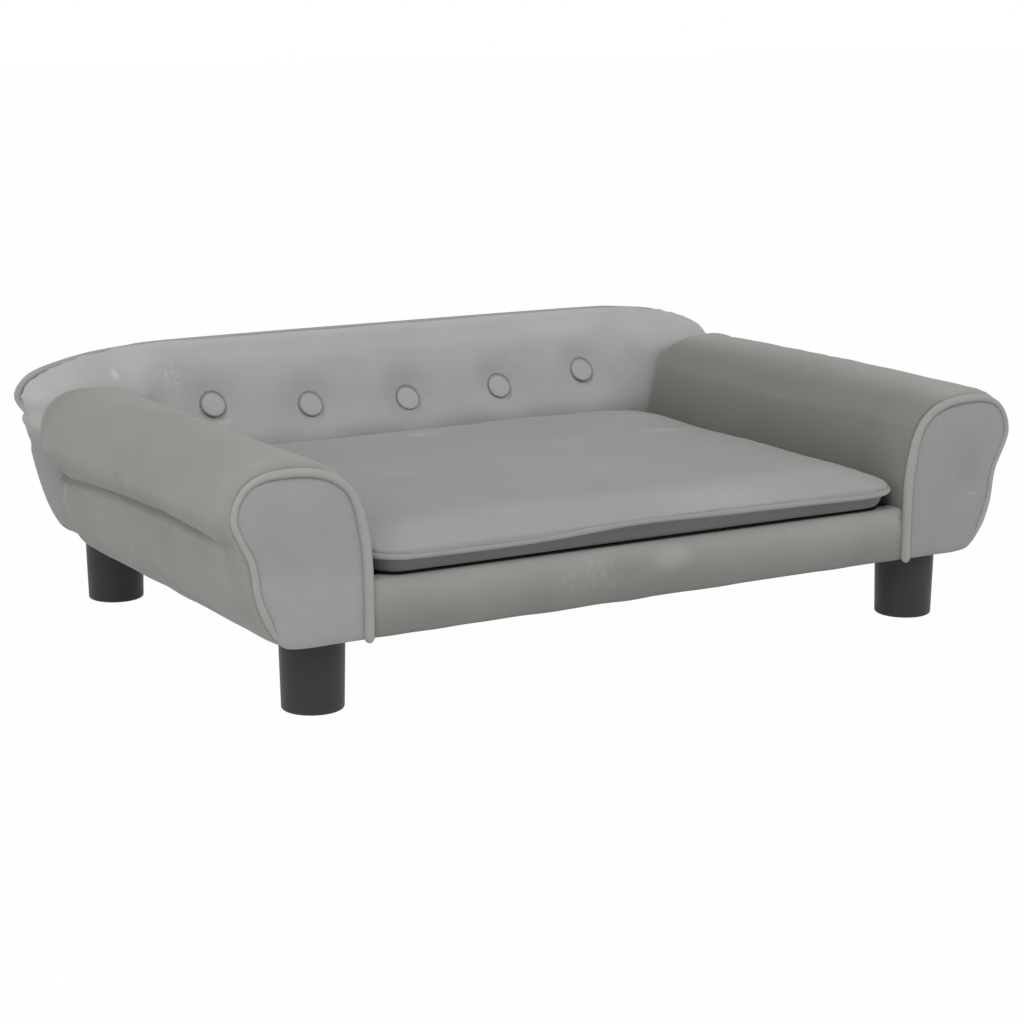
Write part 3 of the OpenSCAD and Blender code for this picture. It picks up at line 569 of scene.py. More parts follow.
BUTTON_SINK = 0.0038


def button_pieces():
    """Covered buttons: flat faces with a tight rounded rim, set down into their pits."""
    profile = curve([[0.0, 0.0036], [0.5, 0.0036], [0.8, 0.0034], [0.93, 0.003], [0.99, 0.0021],
                     [1.0, 0.0012], [0.97, 0.0004], [0.9, 0.0001], [0.4, 0.0001], [0, 0.0001]], 5)
    rise = 0.019
    lean = math.atan2(float(face_at(0, BUTTON_HEIGHT + rise) - face_at(0, BUTTON_HEIGHT - rise)),
                      2 * rise)
    tilt = Matrix.Rotation(math.radians(90) - lean, 4, "X")
    made = []
    for number, x in enumerate(BUTTON_XS):
        z = BUTTON_HEIGHT + row_rise(x)
        seat = Vector((x, float(face_at(x, z)) + BUTTON_SINK, UNDERSIDE + z))

        def disc(u, v, number=number):
            p = along(profile, v)
            turn = u * 2 * math.pi
            gather = 1 + 0.006 * np.sin(turn * 17 + number) * smooth((p[:, 0] - 0.8) / 0.2)
            r = p[:, 0] * (BUTTON_WIDTH / 2 - 0.0005) * gather
            return np.stack([r * np.cos(turn), r * np.sin(turn), p[:, 1]], 1)

        button = wrapped(f"tuft_button_{number + 1}", 96, 40, disc)
        button.data.transform(Matrix.Translation(seat) @ tilt)
        made.append(shade(button, 60))
    return made


# Seat: a padded rail, and a loose boxed cushion with corded seams and a zip behind

def rail_piece():
    profile = curve([[-0.2583, 0.0699], [-0.266, 0.0698], [-0.2785, 0.0701], [-0.2828, 0.0725],
                     [-0.2837, 0.08], [-0.2845, 0.096], [-0.2843, 0.106], [-0.2834, 0.113],
                     [-0.2814, 0.1183], [-0.2788, 0.1218], [-0.2764, 0.1236], [-0.272, 0.1242],
                     [-0.2583, 0.1243]], 6)
    profile = closed(profile)

    def cloth(u, v):
        p = along(profile, v)
        x = mix(-CLOTH_HALF, CLOTH_HALF, 0.5 - 0.5 * np.cos(math.pi * u))
        end = smooth((np.abs(x) - 0.297) / 0.0107)
        proud = smooth((-0.2766 - p[:, 0]) / 0.004)
        y = p[:, 0] + 0.0022 * end ** 2 * smooth((-0.279 - p[:, 0]) / 0.004)
        z = p[:, 1] - 0.006 * end ** 2 * smooth((-0.279 - p[:, 0]) / 0.003) \
            * smooth((p[:, 1] - 0.098) / 0.022)
        across = np.sin(unit((z - UNDERSIDE) / 0.054) * math.pi)
        y -= 0.0006 * np.sin(x * 31 + 1.3) * across * proud
        return np.stack([x, y, z], 1)

    rail = wrapped("front_rail_cloth", 260, 76, cloth)
    press(rail, lambda co: -0.0005 * drift(co, size=0.04, seed=6) * (co[:, 1] < -0.2795)
          * smooth((0.304 - np.abs(co[:, 0])) / 0.012))
    return shade(rail, 50)


# How far the lip along the cushion's front hangs (or rides up) at places across its width
LIP = curve([[-0.31, -0.0018], [-0.26, -0.0031], [-0.18, -0.0038], [-0.115, -0.0028],
              [-0.02, 0.0012], [0.08, -0.0006], [0.185, -0.0022], [0.255, -0.0034],
              [0.31, -0.0018]], 8)


def lip_rise(x, y):
    front = smooth((CUSHION_FRONT + 0.12 - y) / 0.1)
    return front * np.interp(x, LIP[:, 0], LIP[:, 1])


def ring(inset, u):
    """A rounded rectangle round the cushion, drawn in by inset; u counts its four quarters."""
    corner = np.maximum(CUSHION_CORNER - inset, CUSHION_CORNER / 4)
    half_w = CUSHION_HALF - inset - corner
    half_d = (CUSHION_REAR - CUSHION_FRONT) / 2 - inset - corner
    quarter = np.minimum((u * 4).astype(int), 3)
    t = u * 4 - quarter
    even = quarter % 2 == 0
    out, side = np.where(even, half_w, half_d), np.where(even, half_d, half_w)
    n, d = np.cos(quarter * math.pi / 2), np.sin(quarter * math.pi / 2)
    bend = unit((t - 0.84) / 0.16) * math.pi / 2
    away = out + corner * np.cos(bend)
    onward = side * np.clip(t / 0.42 - 1, -1, 1) + corner * np.sin(bend)
    return n * away - d * onward, d * away + n * onward + (CUSHION_FRONT + CUSHION_REAR) / 2


# Inset and height of the cushion's rings, from the middle of its underside up the boxed band,
# over the lip and in to the middle of the crown
CUSHION_ROWS = curve([[0.15, 0.0014], [0.06, 0.0014], [0.026, 0.0012], [0.016, 0.0016],
                      [0.014, 0.0034], [0.0124, 0.0058], [0.0106, 0.0086], [0.009, 0.013],
                      [0.0086, 0.017], [0.0072, 0.0204], [0.0014, 0.0232], [0.0004, 0.0256],
                      [0.0022, 0.0284], [0.009, 0.0316], [0.02, 0.0342], [0.04, 0.0366],
                      [0.085, 0.0384], [0.145, 0.0391], [0.2, 0.0393]], 5)


def cushion_form(u, v):
    p = along(CUSHION_ROWS, v)
    x, y = ring(p[:, 0], u)
    full_behind = 0.0045 * smooth((y - 0.02) / 0.13) * smooth((p[:, 0] - 0.004) / 0.012) \
        * smooth((0.3 - x) / 0.09) * (p[:, 1] > 0.023)
    wave = lip_rise(x, y) * smooth(p[:, 1] / 0.012) * smooth((0.05 - p[:, 0]) / 0.03)
    return np.stack([x, y, CUSHION_BASE + p[:, 1] + full_behind + wave], 1)


def cushion_hold(co):
    """The crown swells most, the band a little, but not behind, where the zip is."""
    h = co[:, 2] - CUSHION_BASE
    top = smooth((h - 0.0235) / 0.01)
    band = hump(h - 0.012, 0.006) * 0.3 * (co[:, 1] < 0.17)
    return np.maximum(top, band)


def cushion_wrinkles(co):
    """Small pulls along the seam and a crown that is nowhere quite even."""
    x, y, h = (co - [0, 0, CUSHION_BASE]).T
    edge = np.min([CUSHION_HALF - np.abs(x), y - CUSHION_FRONT, CUSHION_REAR - y], axis=0)
    near = smooth((0.05 - edge) / 0.035) * smooth((h - 0.024) / 0.004)
    front = y < CUSHION_FRONT + 0.05
    pull = mix(0.0002, 0.0005, front) * np.sin(np.where(front, x, y) * 90
                                               + 6 * drift(co, size=0.1, seed=8))
    return near * pull - 0.0011 * drift(co, size=0.09, seed=5) * smooth((h - 0.026) / 0.01)


def cushion_body():
    body = wrapped("seat_cushion", 360, 120, cushion_form)
    swell(body, voxel=0.0056, cap=0.0032, hold=cushion_hold)
    settle(body, 2)
    press(body, cushion_wrinkles)
    return shade(body, 60)


def cushion_piping():
    u = np.linspace(0, 1, 600, endpoint=False)
    x, y = ring(np.full(len(u), CUSHION_PIPING / 2 - 0.0002), u)
    path = np.stack([x, y, CUSHION_BASE + 0.0221 + lip_rise(x, y)], 1)
    return cord_round("cushion_piping_cord", path, CUSHION_PIPING / 2 - 0.0007, cyclic=True)


def cushion_underside():
    """The non-slip cloth in the underside, with rounded corners and a turned-in edge."""
    cloth = primitive("cushion_underside_cloth", "plane", size=1)
    middle = Vector((0, (CUSHION_FRONT + CUSHION_REAR) / 2, CUSHION_BASE))
    inset = 0.0142
    cloth.data.transform(Matrix.Translation(middle) @ Matrix.Diagonal(
        (2 * (CUSHION_HALF - inset), CUSHION_REAR - CUSHION_FRONT - 2 * inset, 1, 1)))
    edit(cloth, lambda: ops.mesh.bevel(offset=0.024, segments=8, affect="VERTICES"),
         lambda: ops.mesh.inset(thickness=0.008))
    modify(cloth, "SOLIDIFY", thickness=0.0008, offset=1)
    return shade(cloth)


# Small hardware and the flat cloths

def box(name, low, high, bevel=0.0, cuts=0):
    """A block between two corners, with its edges eased."""
    middle = (Vector(low) + Vector(high)) / 2
    size = Vector(high) - Vector(low)
    piece = primitive(name, "cube", size=1)
    piece.data.transform(Matrix.Translation(middle) @ Matrix.Diagonal((*size, 1)))
    if cuts:
        edit(piece, lambda: ops.mesh.subdivide(number_cuts=cuts))
    if bevel:
        modify(piece, "BEVEL", width=bevel, segments=2)
    return piece


def joined(name, pieces):
    ops.object.select_all(action="DESELECT")
    for piece in pieces:
        piece.select_set(True)
    bpy.context.view_layer.objects.active = pieces[0]
    ops.object.join()
    pieces[0].name = pieces[0].data.name = name
    return pieces[0]


ZIP_HALF, ZIP_Y, ZIP_Z = 0.26, 0.1953, CUSHION_BASE + 0.41 * CUSHION_EDGE
TOOTH_PITCH = 0.0024
SLIDER_X = 0.234


def zip_box(name, x, depth, height, bevel):
    """A block on the zip: its stretch along x, its depths behind the tape, its heights on it."""
    return box(name, (x[0], ZIP_Y + depth[0], ZIP_Z + height[0]),
               (x[1], ZIP_Y + depth[1], ZIP_Z + height[1]), bevel)


def zip_tape_piece():
    """Two tapes with a slit between them, each with a woven ridge."""
    whole = (-ZIP_HALF, ZIP_HALF)
    tapes = [zip_box("tape", whole, (0, 0.0009), heights, 0.0002)
             for heights in ((-0.006, -0.0003), (0.0003, 0.006))]
    ridges = [zip_box("tape", whole, (0.0005, 0.0012), (low, low + 0.0008), 0.0002)
              for low in (-0.0046, 0.0038)]
    return shade(joined("zip_tapes", tapes + ridges))


def zip_teeth_piece():
    tooth = zip_box("zip_teeth", (-ZIP_HALF + 0.0004, -ZIP_HALF + 0.0015), (0.0008, 0.0022),
                    (-0.0019, 0.0019), 0.0003)
    modify(tooth, "ARRAY", count=int(2 * ZIP_HALF / TOOTH_PITCH), use_relative_offset=False,
           use_constant_offset=True, constant_offset_displace=(TOOTH_PITCH, 0, 0))
    return shade(tooth)


def zip_slider_piece():
    """The slider's plates, narrower at its nose, with a bridge and a pierced pull."""
    plates = zip_box("plate", (SLIDER_X, SLIDER_X + 0.01), (0.0024, 0.0038),
                     (-0.0045, 0.0045), 0.0005)
    nose, narrow = SLIDER_X + 0.0072, 0.62
    co = places(plates)
    co[:, 2] = np.where(co[:, 0] > nose, ZIP_Z + (co[:, 2] - ZIP_Z) * narrow, co[:, 2])
    move_to(plates, co)
    bridge = zip_box("bridge", (SLIDER_X + 0.0032, SLIDER_X + 0.0074), (0.0032, 0.0054),
                     (-0.0009, 0.0009), 0.0004)
    pull = zip_box("pull", (SLIDER_X + 0.0052, SLIDER_X + 0.0208), (0.0042, 0.0051),
                   (-0.003, 0.003), 0.0004)
    hole = primitive("hole", "cylinder", vertices=20, radius=0.0015, depth=0.01,
                     location=(SLIDER_X + 0.0176, ZIP_Y + 0.0044, ZIP_Z),
                     rotation=(math.radians(90), 0, 0))
    cut_out(pull, hole)
    return shade(joined("zip_slider_pull", [plates, bridge, pull]), 35)


def sheet_piece(name, low, high):
    """A cloth stretched flat between two corners, with a little slack."""
    piece = box(name, low, high, cuts=24)
    co = places(piece)
    from_edge = np.min([co[:, 0] - low[0], high[0] - co[:, 0],
                        co[:, 1] - low[1], high[1] - co[:, 1]], axis=0)
    co[:, 2] += 0.0004 * smooth(from_edge / 0.05) * drift(co, size=0.08, seed=3)
    return shade(move_to(piece, co))


def staple(x, y, half_x, half_y):
    z = UNDERSIDE + 0.0002
    return box("staple", (x - half_x, y - half_y, z - 0.0006),
               (x + half_x, y + half_y, z + 0.0002), 0.0002)


def staple_rows(low, high):
    """Staples round the dust cover, each lying along its edge."""
    inset, long, thin = 0.006, 0.005, 0.0005
    made = []
    for share in np.linspace(0.03, 0.97, 13):
        x = mix(low[0], high[0], share)
        made += [staple(x, y, long, thin) for y in (low[1] + inset, high[1] - inset)]
    for share in np.linspace(0.08, 0.92, 9):
        y = mix(low[1], high[1], share)
        made += [staple(x, y, thin, long) for x in (low[0] + inset, high[0] - inset)]
    return shade(joined("dust_cover_staples", made))


# Finishes

class Value:
    """A shader socket that takes part in Python sums."""

    def __init__(self, nodes, socket):
        self.nodes, self.socket = nodes, socket

    def __add__(self, other):
        return self.nodes.maths("ADD", self, other)

    def __sub__(self, other):
        return self.nodes.maths("SUBTRACT", self, other)

    def __rsub__(self, other):
        return self.nodes.maths("SUBTRACT", other, self)

    def __mul__(self, other):
        return self.nodes.maths("MULTIPLY", self, other)

    def __truediv__(self, other):
        return self.nodes.maths("DIVIDE", self, other)

    __radd__, __rmul__ = __add__, __mul__

    def clamped(self):
        return self.nodes.value("Clamp", Value=self)

    def between(self, low, high):
        """0 below low, 1 above high, smooth between."""
        return self.nodes.value("MapRange", {"interpolation_type": "SMOOTHSTEP"}, Value=self,
                                From_Min=low, From_Max=high, To_Min=0, To_Max=1)


class Nodes:
    """A node tree under construction."""

    def __init__(self, owner):
        owner.use_nodes = True
        self.tree = owner.node_tree

    def node(self, kind, settings=(), **values):
        """Adds a node with its settings; values go to the sockets of that name."""
        made = given(self.tree.nodes.new("ShaderNode" + kind), **dict(settings))
        for key, value in values.items():
            self.feed(made.inputs[key.replace("_", " ")], value)
        return made

    def value(self, kind, settings=(), output=0, **values):
        return Value(self, self.node(kind, settings, **values).outputs[output])

    def feed(self, socket, value):
        if isinstance(value, Value):
            value = value.socket
        if isinstance(value, bpy.types.NodeSocket):
            self.tree.links.new(value, socket)
        else:
            socket.default_value = value

    def maths(self, operation, *terms):
        node = self.node("Math", {"operation": operation})
        for socket, term in zip(node.inputs, terms):
            self.feed(socket, term)
        return Value(self, node.outputs[0])

    def rays(self, *kinds):
        """1 where the ray is of one of the kinds, such as Camera."""
        node = self.node("LightPath")
        found = [Value(self, node.outputs[f"Is {kind} Ray"]) for kind in kinds]
        return functools.reduce(lambda a, b: self.maths("MAXIMUM", a, b), found)

    def either(self, share, first, second):
        """One shader mixed into another by a share."""
        node = self.node("MixShader")
        for socket, value in zip(node.inputs, (share, first, second)):
            self.feed(socket, value)
        return node.outputs[0]


class Finish(Nodes):
    """A material under construction, in the object's own coordinates."""

    def __init__(self, name):
        self.material = bpy.data.materials.new(name)
        super().__init__(self.material)
        self.shader = self.tree.nodes["Principled BSDF"]
        self.place = self.node("TexCoord").outputs["Object"]

    def axes(self):
        node = self.node("SeparateXYZ", Vector=self.place)
        return [Value(self, node.outputs[k]) for k in range(3)]

    def stretched(self, scale, shift=(0, 0, 0)):
        return self.node("Mapping", Vector=self.place, Scale=scale,
                         Location=shift).outputs[0]

    def spot(self, middle, reach):
        """1 at a place on the piece, fading to 0 at its reach along each axis."""
        near = self.stretched([1 / r for r in reach], shift=[-m / r for m, r in zip(middle, reach)])
        far = self.value("VectorMath", {"operation": "LENGTH"}, "Value", Vector=near)
        return 1 - far.between(0.1, 1)

    def noise(self, scale, detail=3.0, rough=0.5, warp=0.0, where=None, seed=0.0):
        return self.value("TexNoise", {"noise_dimensions": "4D"}, "Fac", W=seed, Scale=scale,
                          Detail=detail, Roughness=rough, Distortion=warp,
                          Vector=where or self.place)

    def blended(self, a, b, share):
        node = self.node("Mix", {"data_type": "RGBA"})
        self.feed(node.inputs[0], share)
        self.feed(node.inputs[6], (*a, 1))
        self.feed(node.inputs[7], (*b, 1))
        return node.outputs[2]

    def bump(self, height, strength, distance, **under):
        """A bump in metres, over another with Normal=."""
        return self.node("Bump", Height=height, Strength=strength, Distance=distance,
                         **under).outputs[0]

    def set(self, **values):
        for key, value in values.items():
            self.feed(self.shader.inputs[key.replace("_", " ")], value)


def grey(level, warm=0.0):
    """A near-neutral colour from its 0 to 255 display level, faintly green unless warmed."""
    def linear(c):
        c = c / 255
        return c / 12.92 if c <= 0.04045 else ((c + 0.055) / 1.055) ** 2.4
    return (linear(level - 0.5 + 0.5 * warm), linear(level + 2.4 - 3.9 * warm),
            linear(level - 1.0 - 4.4 * warm))


def velvet(name, level, seed, mottle, brushed=(1, 1, 1), painted_shading=None, warm=0.0):
    """Short-pile velvet: soft patches where the nap lies over, brush marks and a fine pile.
    mottle is in display levels about the given one; the function given after brushed adds
    painted light and shade, also in display levels."""
    f = Finish(name)
    patches = f.noise(6, 2, 0.5, 0.4, seed=seed) - 0.5
    strokes = f.noise(15, 3, 0.55, 0.7, where=f.stretched(brushed), seed=seed + 2) - 0.5
    pile = f.noise(950, 2, 0.7, seed=seed + 9)
    light = patches * (4.0 * mottle) + strokes * (3.6 * mottle) + (pile - 0.5) * 14
    # painted light and shade for the piece, added to the cloth's own tone
    if painted_shading is not None:
        light = light + painted_shading(f)
    span = 50
    colour = f.blended(grey(level - span, warm), grey(level + span, warm),
                       (light / (2 * span) + 0.5).clamped())
    fine = f.bump(pile, strength=0.35, distance=0.0006)
    rolling = f.bump(f.noise(60, 3, 0.55, seed=seed + 3), strength=0.15, distance=0.001,
                     Normal=fine)
    f.set(Base_Color=colour, Roughness=0.92, Normal=rolling, Sheen_Weight=0.3,
          Sheen_Roughness=0.45, Specular_IOR_Level=0.2)
    return f.material


def soft_spots(f, *marks):
    """Soft lighter and darker spots on the nap, each with its middle, its reach and its levels."""
    return sum(f.spot(middle, reach) * levels for middle, reach, levels in marks)


def crushed(f, middle, reach, seed, along_pile=(1, 1, 0.4)):
    """Fine bright scratches where the pile has been crushed, within reach of a place."""
    marks = f.noise(120, 3, 0.65, 1.8, where=f.stretched(along_pile), seed=seed)
    return f.spot(middle, reach) * marks.between(0.5, 0.68)


def dress(piece, material, body, slot_name, *replaced):
    """Gives a piece its finish, the body that it rides on and the solids that it stands for."""
    piece.data.materials.clear()
    piece.data.materials.append(material)
    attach(piece, body)
    if replaced:
        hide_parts(*replaced)


def plastic():
    """Charcoal moulded plastic: fine grain, a little dust, and scuffs at the foot."""
    f = Finish("charcoal_plastic")
    grain = f.noise(700, 3, 0.6)
    dust = f.noise(18, 4, 0.6, 0.4).between(0.45, 0.75)
    z = f.axes()[2]
    scuff = (1 - z.between(0.001, 0.006)) * f.noise(160, 3, 0.6).between(0.45, 0.6)
    pale = (dust * 0.6 + scuff * 0.5 + (grain - 0.5) * 0.4).clamped()
    f.set(Base_Color=f.blended(grey(47, -0.2), grey(58, -0.2), pale),
          Roughness=dust * 0.12 + 0.5, Normal=f.bump(grain, strength=0.12, distance=0.0004),
          Specular_IOR_Level=0.35)
    return f.material


def timber(name, light, dark, scale):
    f = Finish(name)
    grain = f.noise(scale, 5, 0.6, 1.2, where=f.stretched((1.2, 1.2, 14)))
    lines = f.noise(scale * 6, 3, 0.6, 0.4, where=f.stretched((1, 1, 22), shift=(3, 1, 2)))
    share = (grain.between(0.35, 0.65) * 0.7 + lines.between(0.4, 0.7) * 0.3).clamped()
    f.set(Base_Color=f.blended(light, dark, share), Roughness=0.72,
          Normal=f.bump(lines, strength=0.2, distance=0.0005))
    return f.material


def foam_finish():
    f = Finish("open_cell_foam")
    depth = f.value("TexVoronoi", {"feature": "F1"}, "Distance", Vector=f.place, Scale=620)
    f.set(Base_Color=f.blended((0.8, 0.74, 0.52), (0.62, 0.55, 0.34), depth.between(0.1, 0.6)),
          Roughness=0.95, Normal=f.bump(depth, strength=0.4, distance=0.0006))
    return f.material


def steel(name, level, rough):
    f = Finish(name)
    brushed = f.noise(300, 3, 0.6, where=f.stretched((1, 1, 9)))
    f.set(Base_Color=f.blended(grey(level - 10), grey(level + 8), brushed), Metallic=1.0,
          Roughness=brushed * 0.15 + rough)
    return f.material


def lining():
    """Black non-woven cloth with a fine crossed texture."""
    f = Finish("black_lining")
    x, y, _ = f.axes()
    thread = 5200
    weave = (f.maths("SINE", x * thread) * 0.5 + 0.5) * (f.maths("SINE", y * thread) * 0.5 + 0.5)
    share = (weave * 0.6 + f.noise(40, 4, 0.6) * 0.4).clamped()
    f.set(Base_Color=f.blended((0.01, 0.01, 0.011), (0.034, 0.034, 0.037), share),
          Roughness=0.93, Normal=f.bump(weave, strength=0.25, distance=0.0004))
    return f.material


# Painted light and shade on each piece, and marks of crushed pile, in display levels lighter or
# darker

def right_arm_painted_shading(f):
    """Painted shade on the seat side of the right arm, less of it toward the top, and painted light
    toward the front.
    """
    x, y, z = f.axes()
    seat_side_shade = 1 - x.between(0.335, 0.378)
    return seat_side_shade * (z.between(0.14, 0.24) * 8 - 32) + y.between(-0.2, -0.28) * 6


def left_arm_painted_shading_and_lines(f):
    """Painted shade under the roll, lighter again below the fold, painted light toward the front
    and painted shade toward the rear, and two thin lighter lines on the flank.
    """
    _, y, z = f.axes()
    shade_under_roll = (1 - z.between(0.168, 0.205)) * -8 + (1 - z.between(0.158, 0.165)) * 4
    return shade_under_roll + y.between(-0.19, -0.285) * 5 - y.between(0.1, 0.2) * 4 \
        + soft_spots(f, ((-0.43, 0.0035, 0.132), (0.03, 0.003, 0.003), 26),
                 ((-0.43, -0.0056, 0.118), (0.03, 0.003, 0.006), 18))


def back_painted_shading_and_wear(f):
    """Painted light toward the crest and painted shade round the left flank; crushed pile by the
    left ear. Of the soft spots, the darker one at x -0.365 and the lighter one on the left ear's
    face are painted shade and painted light.
    """
    x, _, z = f.axes()
    flank = (1 - x.between(-0.4, -0.37)) * (1 - z.between(0.18, 0.2))
    return z.between(0.165, 0.255) * 16 - 5 - flank * 20 \
        + crushed(f, (-0.285, 0.22, 0.238), (0.05, 0.07, 0.045), 71) * 20 \
        + soft_spots(f, ((-0.349, 0.235, 0.247), (0.006, 0.05, 0.008), 26),
                 ((-0.228, 0.207, 0.1865), (0.018, 0.04, 0.006), 14),
                 ((0.216, 0.245, 0.258), (0.07, 0.06, 0.025), 7),
                 ((0.1, 0.21, 0.19), (0.05, 0.05, 0.03), 5),
                 ((-0.365, 0.24, 0.245), (0.045, 0.08, 0.05), -11),
                 ((-0.428, 0.255, 0.225), (0.025, 0.05, 0.025), 7),
                 ((0.15, 0.22, 0.235), (0.05, 0.05, 0.016), -6))


def seat_painted_shading_and_wear(f):
    """The front roll catches the light; the boxed band below it lies in shade."""
    x, y, z = f.axes()
    # painted light on the front roll and painted shade on the boxed band
    roll = (1 - y.between(-0.262, -0.19)) * z.between(0.1475, 0.151)
    lip = x.between(-0.13, -0.03) * 0.004 - x.between(0.02, 0.2) * 0.003
    band = 1 - (z - lip).between(0.1402, 0.1424)
    # the first two soft spots lighten the front roll further, as painted light
    return roll * 14 - band * 31 \
        + crushed(f, (0.08, -0.265, 0.156), (0.1, 0.035, 0.03), 73, (0.4, 1, 1)) * 12 \
        + crushed(f, (0.225, 0.05, 0.163), (0.08, 0.08, 0.03), 77, (0.3, 1, 1)) * 12 \
        + soft_spots(f, ((-0.24, -0.26, 0.156), (0.1, 0.05, 0.03), 5),
                 ((0.07, -0.27, 0.156), (0.11, 0.04, 0.03), 7),
                 ((-0.036, 0.129, 0.163), (0.03, 0.016, 0.02), 20),
                 ((0.238, 0.11, 0.163), (0.05, 0.012, 0.02), 14),
                 ((0.225, 0.03, 0.163), (0.06, 0.012, 0.02), 14))


def rail_painted_shading_and_wear(f):
    """Lit along its top edge, duller toward the bottom, crushed in the middle."""
    z = f.axes()[2]
    # painted light toward the top edge and painted shade toward the bottom
    return z.between(0.072, 0.12) * 26 - 15 \
        + crushed(f, (-0.075, -0.284, 0.1), (0.06, 0.03, 0.032), 79) * 16 \
        + crushed(f, (0.14, -0.284, 0.116), (0.1, 0.03, 0.01), 83, (0.4, 1, 1)) * 5 \
        + soft_spots(f, ((0.02, -0.284, 0.108), (0.034, 0.03, 0.018), 16),
                 ((-0.035, -0.284, 0.106), (0.032, 0.03, 0.02), -9))


def right_panel_marks(f):
    """One short lighter line, and a darker patch higher up."""
    return soft_spots(f, ((0.397, -0.284, 0.1325), (0.012, 0.02, 0.0016), 22),
                  ((0.39, -0.284, 0.17), (0.03, 0.03, 0.05), -5))


def left_panel_marks(f):
    """Lighter below, with a darker patch above."""
    z = f.axes()[2]
    return (1 - z.between(0.125, 0.15)) * 5 \
        + soft_spots(f, ((-0.4, -0.284, 0.18), (0.04, 0.03, 0.05), -3))


# One velvet covers the sofa; its copies below differ in level by piece and by side, as painted
# light and shade.
arm_velvet = {
    "left": velvet("arm_velvet_left", 136, 11, 3.5, (1, 0.45, 1), left_arm_painted_shading_and_lines, warm=0.7),
    "right": velvet("arm_velvet_right", 146, 18, 2.5, (1, 0.45, 1), right_arm_painted_shading, warm=0.9)}
panel_velvet = {
    "left": velvet("panel_velvet_left", 149, 31, 3, (1, 1, 0.5), left_panel_marks),
    "right": velvet("panel_velvet_right", 147, 36, 3, (1, 1, 0.4), right_panel_marks)}
back_velvet = velvet("back_velvet", 163, 5, 4.5, (1, 1, 0.6), back_painted_shading_and_wear)
seat_velvet = velvet("seat_velvet", 139, 17, 3, (0.8, 1, 1), seat_painted_shading_and_wear)
rail_velvet = velvet("rail_velvet", 137, 23, 5, (0.6, 1, 1), rail_painted_shading_and_wear, warm=0.6)
rear_velvet = velvet("rear_velvet", 140, 29, 4, (1, 1, 0.6))
piping_velvet = velvet("piping_velvet", 156, 41, 3, warm=0.35)
seam_velvet = velvet("seam_velvet", 147, 43, 3, warm=0.2)
button_velvet = velvet("button_velvet", 166, 47, 3)
black_lining = lining()
zinc_steel, zip_steel = steel("zinc_steel", 170, 0.35), steel("zip_steel", 140, 0.3)


# The sofa put together

arms = arm_pieces()
back, back_piping, rear_cloth = back_pad(), back_cord(), back_cloth()
buttons = button_pieces()
rail = rail_piece()
cushion, seam_piping, under_cloth = cushion_body(), cushion_piping(), cushion_underside()
zip_tapes, zip_teeth, zip_pull = zip_tape_piece(), zip_teeth_piece(), zip_slider_piece()
DUST_COVER = (-CLOTH_HALF, CLOTH_FRONT, 0.0703), (CLOTH_HALF, PAD_REAR, 0.071)
DECK_CLOTH = (-CLOTH_HALF, CLOTH_FRONT, 0.12275), (CLOTH_HALF, 0.2027, 0.12385)
dust = sheet_piece("dust_cover_cloth", *DUST_COVER)
staples = staple_rows(*DUST_COVER)
deck = sheet_piece("deck_lining_cloth", *DECK_CLOTH)

for side, (sleeve_piece, panel_piece, cord_piece) in arms.items():
    dress(sleeve_piece, arm_velvet[side], "frame", "velvet", f"{side}_arm_cover")
    dress(panel_piece, panel_velvet[side], "frame", "velvet", f"{side}_arm_front_panel")
    dress(cord_piece, piping_velvet, "frame", "velvet", f"{side}_arm_piping")

dress(back, back_velvet, "frame", "velvet", "back_pad")
dress(back_piping, piping_velvet, "frame", "velvet", "back_piping")
dress(rear_cloth, rear_velvet, "frame", "velvet_flat", "back_rear_cover")
for button in buttons:
    dress(button, button_velvet, "frame", "velvet", "tuft_buttons")
dress(rail, rail_velvet, "frame", "velvet_flat", "front_rail_cover")
dress(cushion, seat_velvet, "cushion", "velvet", "cushion_cover")
dress(seam_piping, seam_velvet, "cushion", "velvet", "cushion_piping")
dress(under_cloth, black_lining, "cushion", "lining", "cushion_base_cloth")
dress(zip_tapes, black_lining, "cushion", "lining", "zip_tape")
dress(zip_teeth, zip_steel, "cushion", "zip_metal", "zip_tape")
dress(zip_pull, zip_steel, "zip_slider", "zip_metal", "zip_slider")
dress(dust, black_lining, "frame", "lining", "dust_cover")
dress(staples, zinc_steel, "frame", "fastener_steel")
dress(deck, black_lining, "frame", "lining", "deck_cloth")

CAD_FINISHES = {
    "leg_plastic": plastic(),
    "pine": timber("pine", (0.6, 0.41, 0.2), (0.42, 0.25, 0.1), 9),
    "plywood": timber("plywood", (0.66, 0.49, 0.28), (0.52, 0.35, 0.17), 14),
    "foam": foam_finish(),
    "fastener_steel": zinc_steel,
    "zip_metal": zip_steel,
    "lining": black_lining,
    "velvet": piping_velvet,
    "velvet_flat": rear_velvet,
}
for part in frame["record"]["subparts"]:
    node = frame["nodes"][part["node"]]
    node.data.materials.clear()
    node.data.materials.append(CAD_FINISHES[part["material_slot"]])


# Stage, light and camera

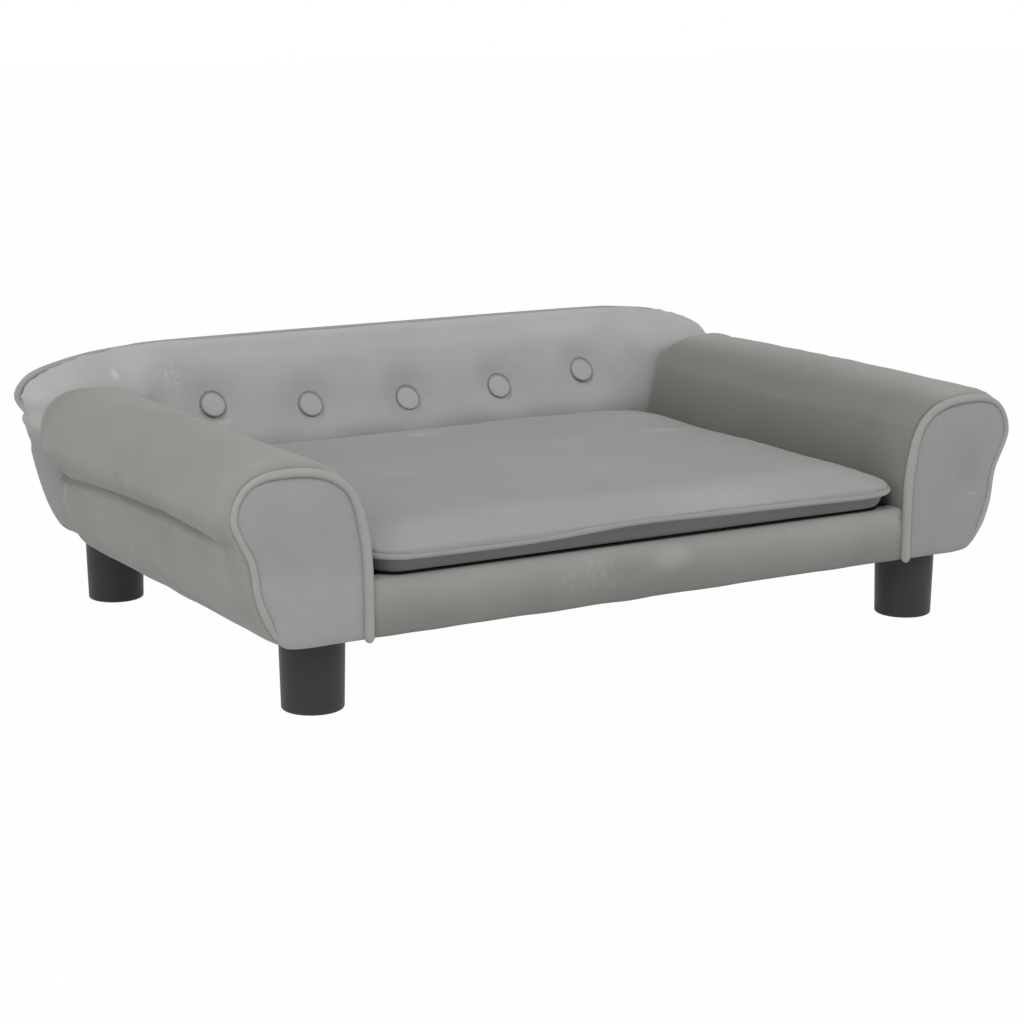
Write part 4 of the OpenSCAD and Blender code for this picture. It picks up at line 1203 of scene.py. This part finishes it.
def white_ground(name, share):
    """White to the camera and in reflections, with a little shadow kept."""
    f = Finish(name)
    f.set(Base_Color=(0.86, 0.86, 0.86, 1), Roughness=0.9)
    white = f.node("Emission", Color=(1, 1, 1, 1), Strength=1.0)
    shown = f.either(f.rays("Camera", "Glossy", "Transmission") * share,
                     f.shader.outputs[0], white.outputs[0])
    f.feed(f.tree.nodes["Material Output"].inputs[0], shown)
    return f.material


def white_studio(name, strength):
    """An even white sky that lights the sofa, and plain white behind it to the camera."""
    world = bpy.data.worlds.new(name)
    w = Nodes(world)
    w.tree.nodes.clear()
    sky, backdrop = [w.node("Background", Color=(1, 1, 1, 1), Strength=power).outputs[0]
                     for power in (strength, 1.0)]
    w.node("OutputWorld", Surface=w.either(w.rays("Camera"), sky, backdrop))
    return world


def aimed(piece, place, ahead):
    """Sets a lamp or a camera down at a place, looking ahead."""
    piece.location = place
    piece.rotation_euler = ahead.to_track_quat("-Z", "Y").to_euler()
    return piece


def lamp(name, place, size, power):
    """A round soft light aimed at the middle of the sofa."""
    light = given(bpy.data.lights.new(name, "AREA"), shape="DISK", size=size, energy=power)
    aimed(added(name, light), place, Vector((0, 0, 0.15)) - Vector(place))


floor = primitive("floor", "plane", size=30)
floor.data.materials.append(white_ground("white_floor", 0.985))

scene.world = white_studio("studio", 0.52)
lamp("key_lamp", (-1.6, -2.2, 2.8), size=1.8, power=42)
lamp("fill_lamp", (2.4, -1.6, 1.8), size=1.8, power=11)
lamp("side_lamp", (-2.6, 0.6, 1.3), size=1.6, power=8)

# The camera as the photograph's was solved: its place, where it looks and its focal length
CAMERA_PLACE = (-1.3128, -2.235, 0.6642)
CAMERA_YAW, CAMERA_PITCH = math.radians(30.538218), math.radians(12.232624)
FOCAL_PIXELS, PICTURE_PIXELS, FILM_WIDTH = 2486.7247, 1024, 36
ahead = Vector((math.sin(CAMERA_YAW) * math.cos(CAMERA_PITCH),
                math.cos(CAMERA_YAW) * math.cos(CAMERA_PITCH), -math.sin(CAMERA_PITCH)))
view = given(bpy.data.cameras.new("camera"), sensor_width=FILM_WIDTH, clip_end=100,
             lens=FOCAL_PIXELS / PICTURE_PIXELS * FILM_WIDTH)
scene.camera = aimed(added("camera", view), CAMERA_PLACE, ahead)
scene.view_settings.view_transform = "Standard"
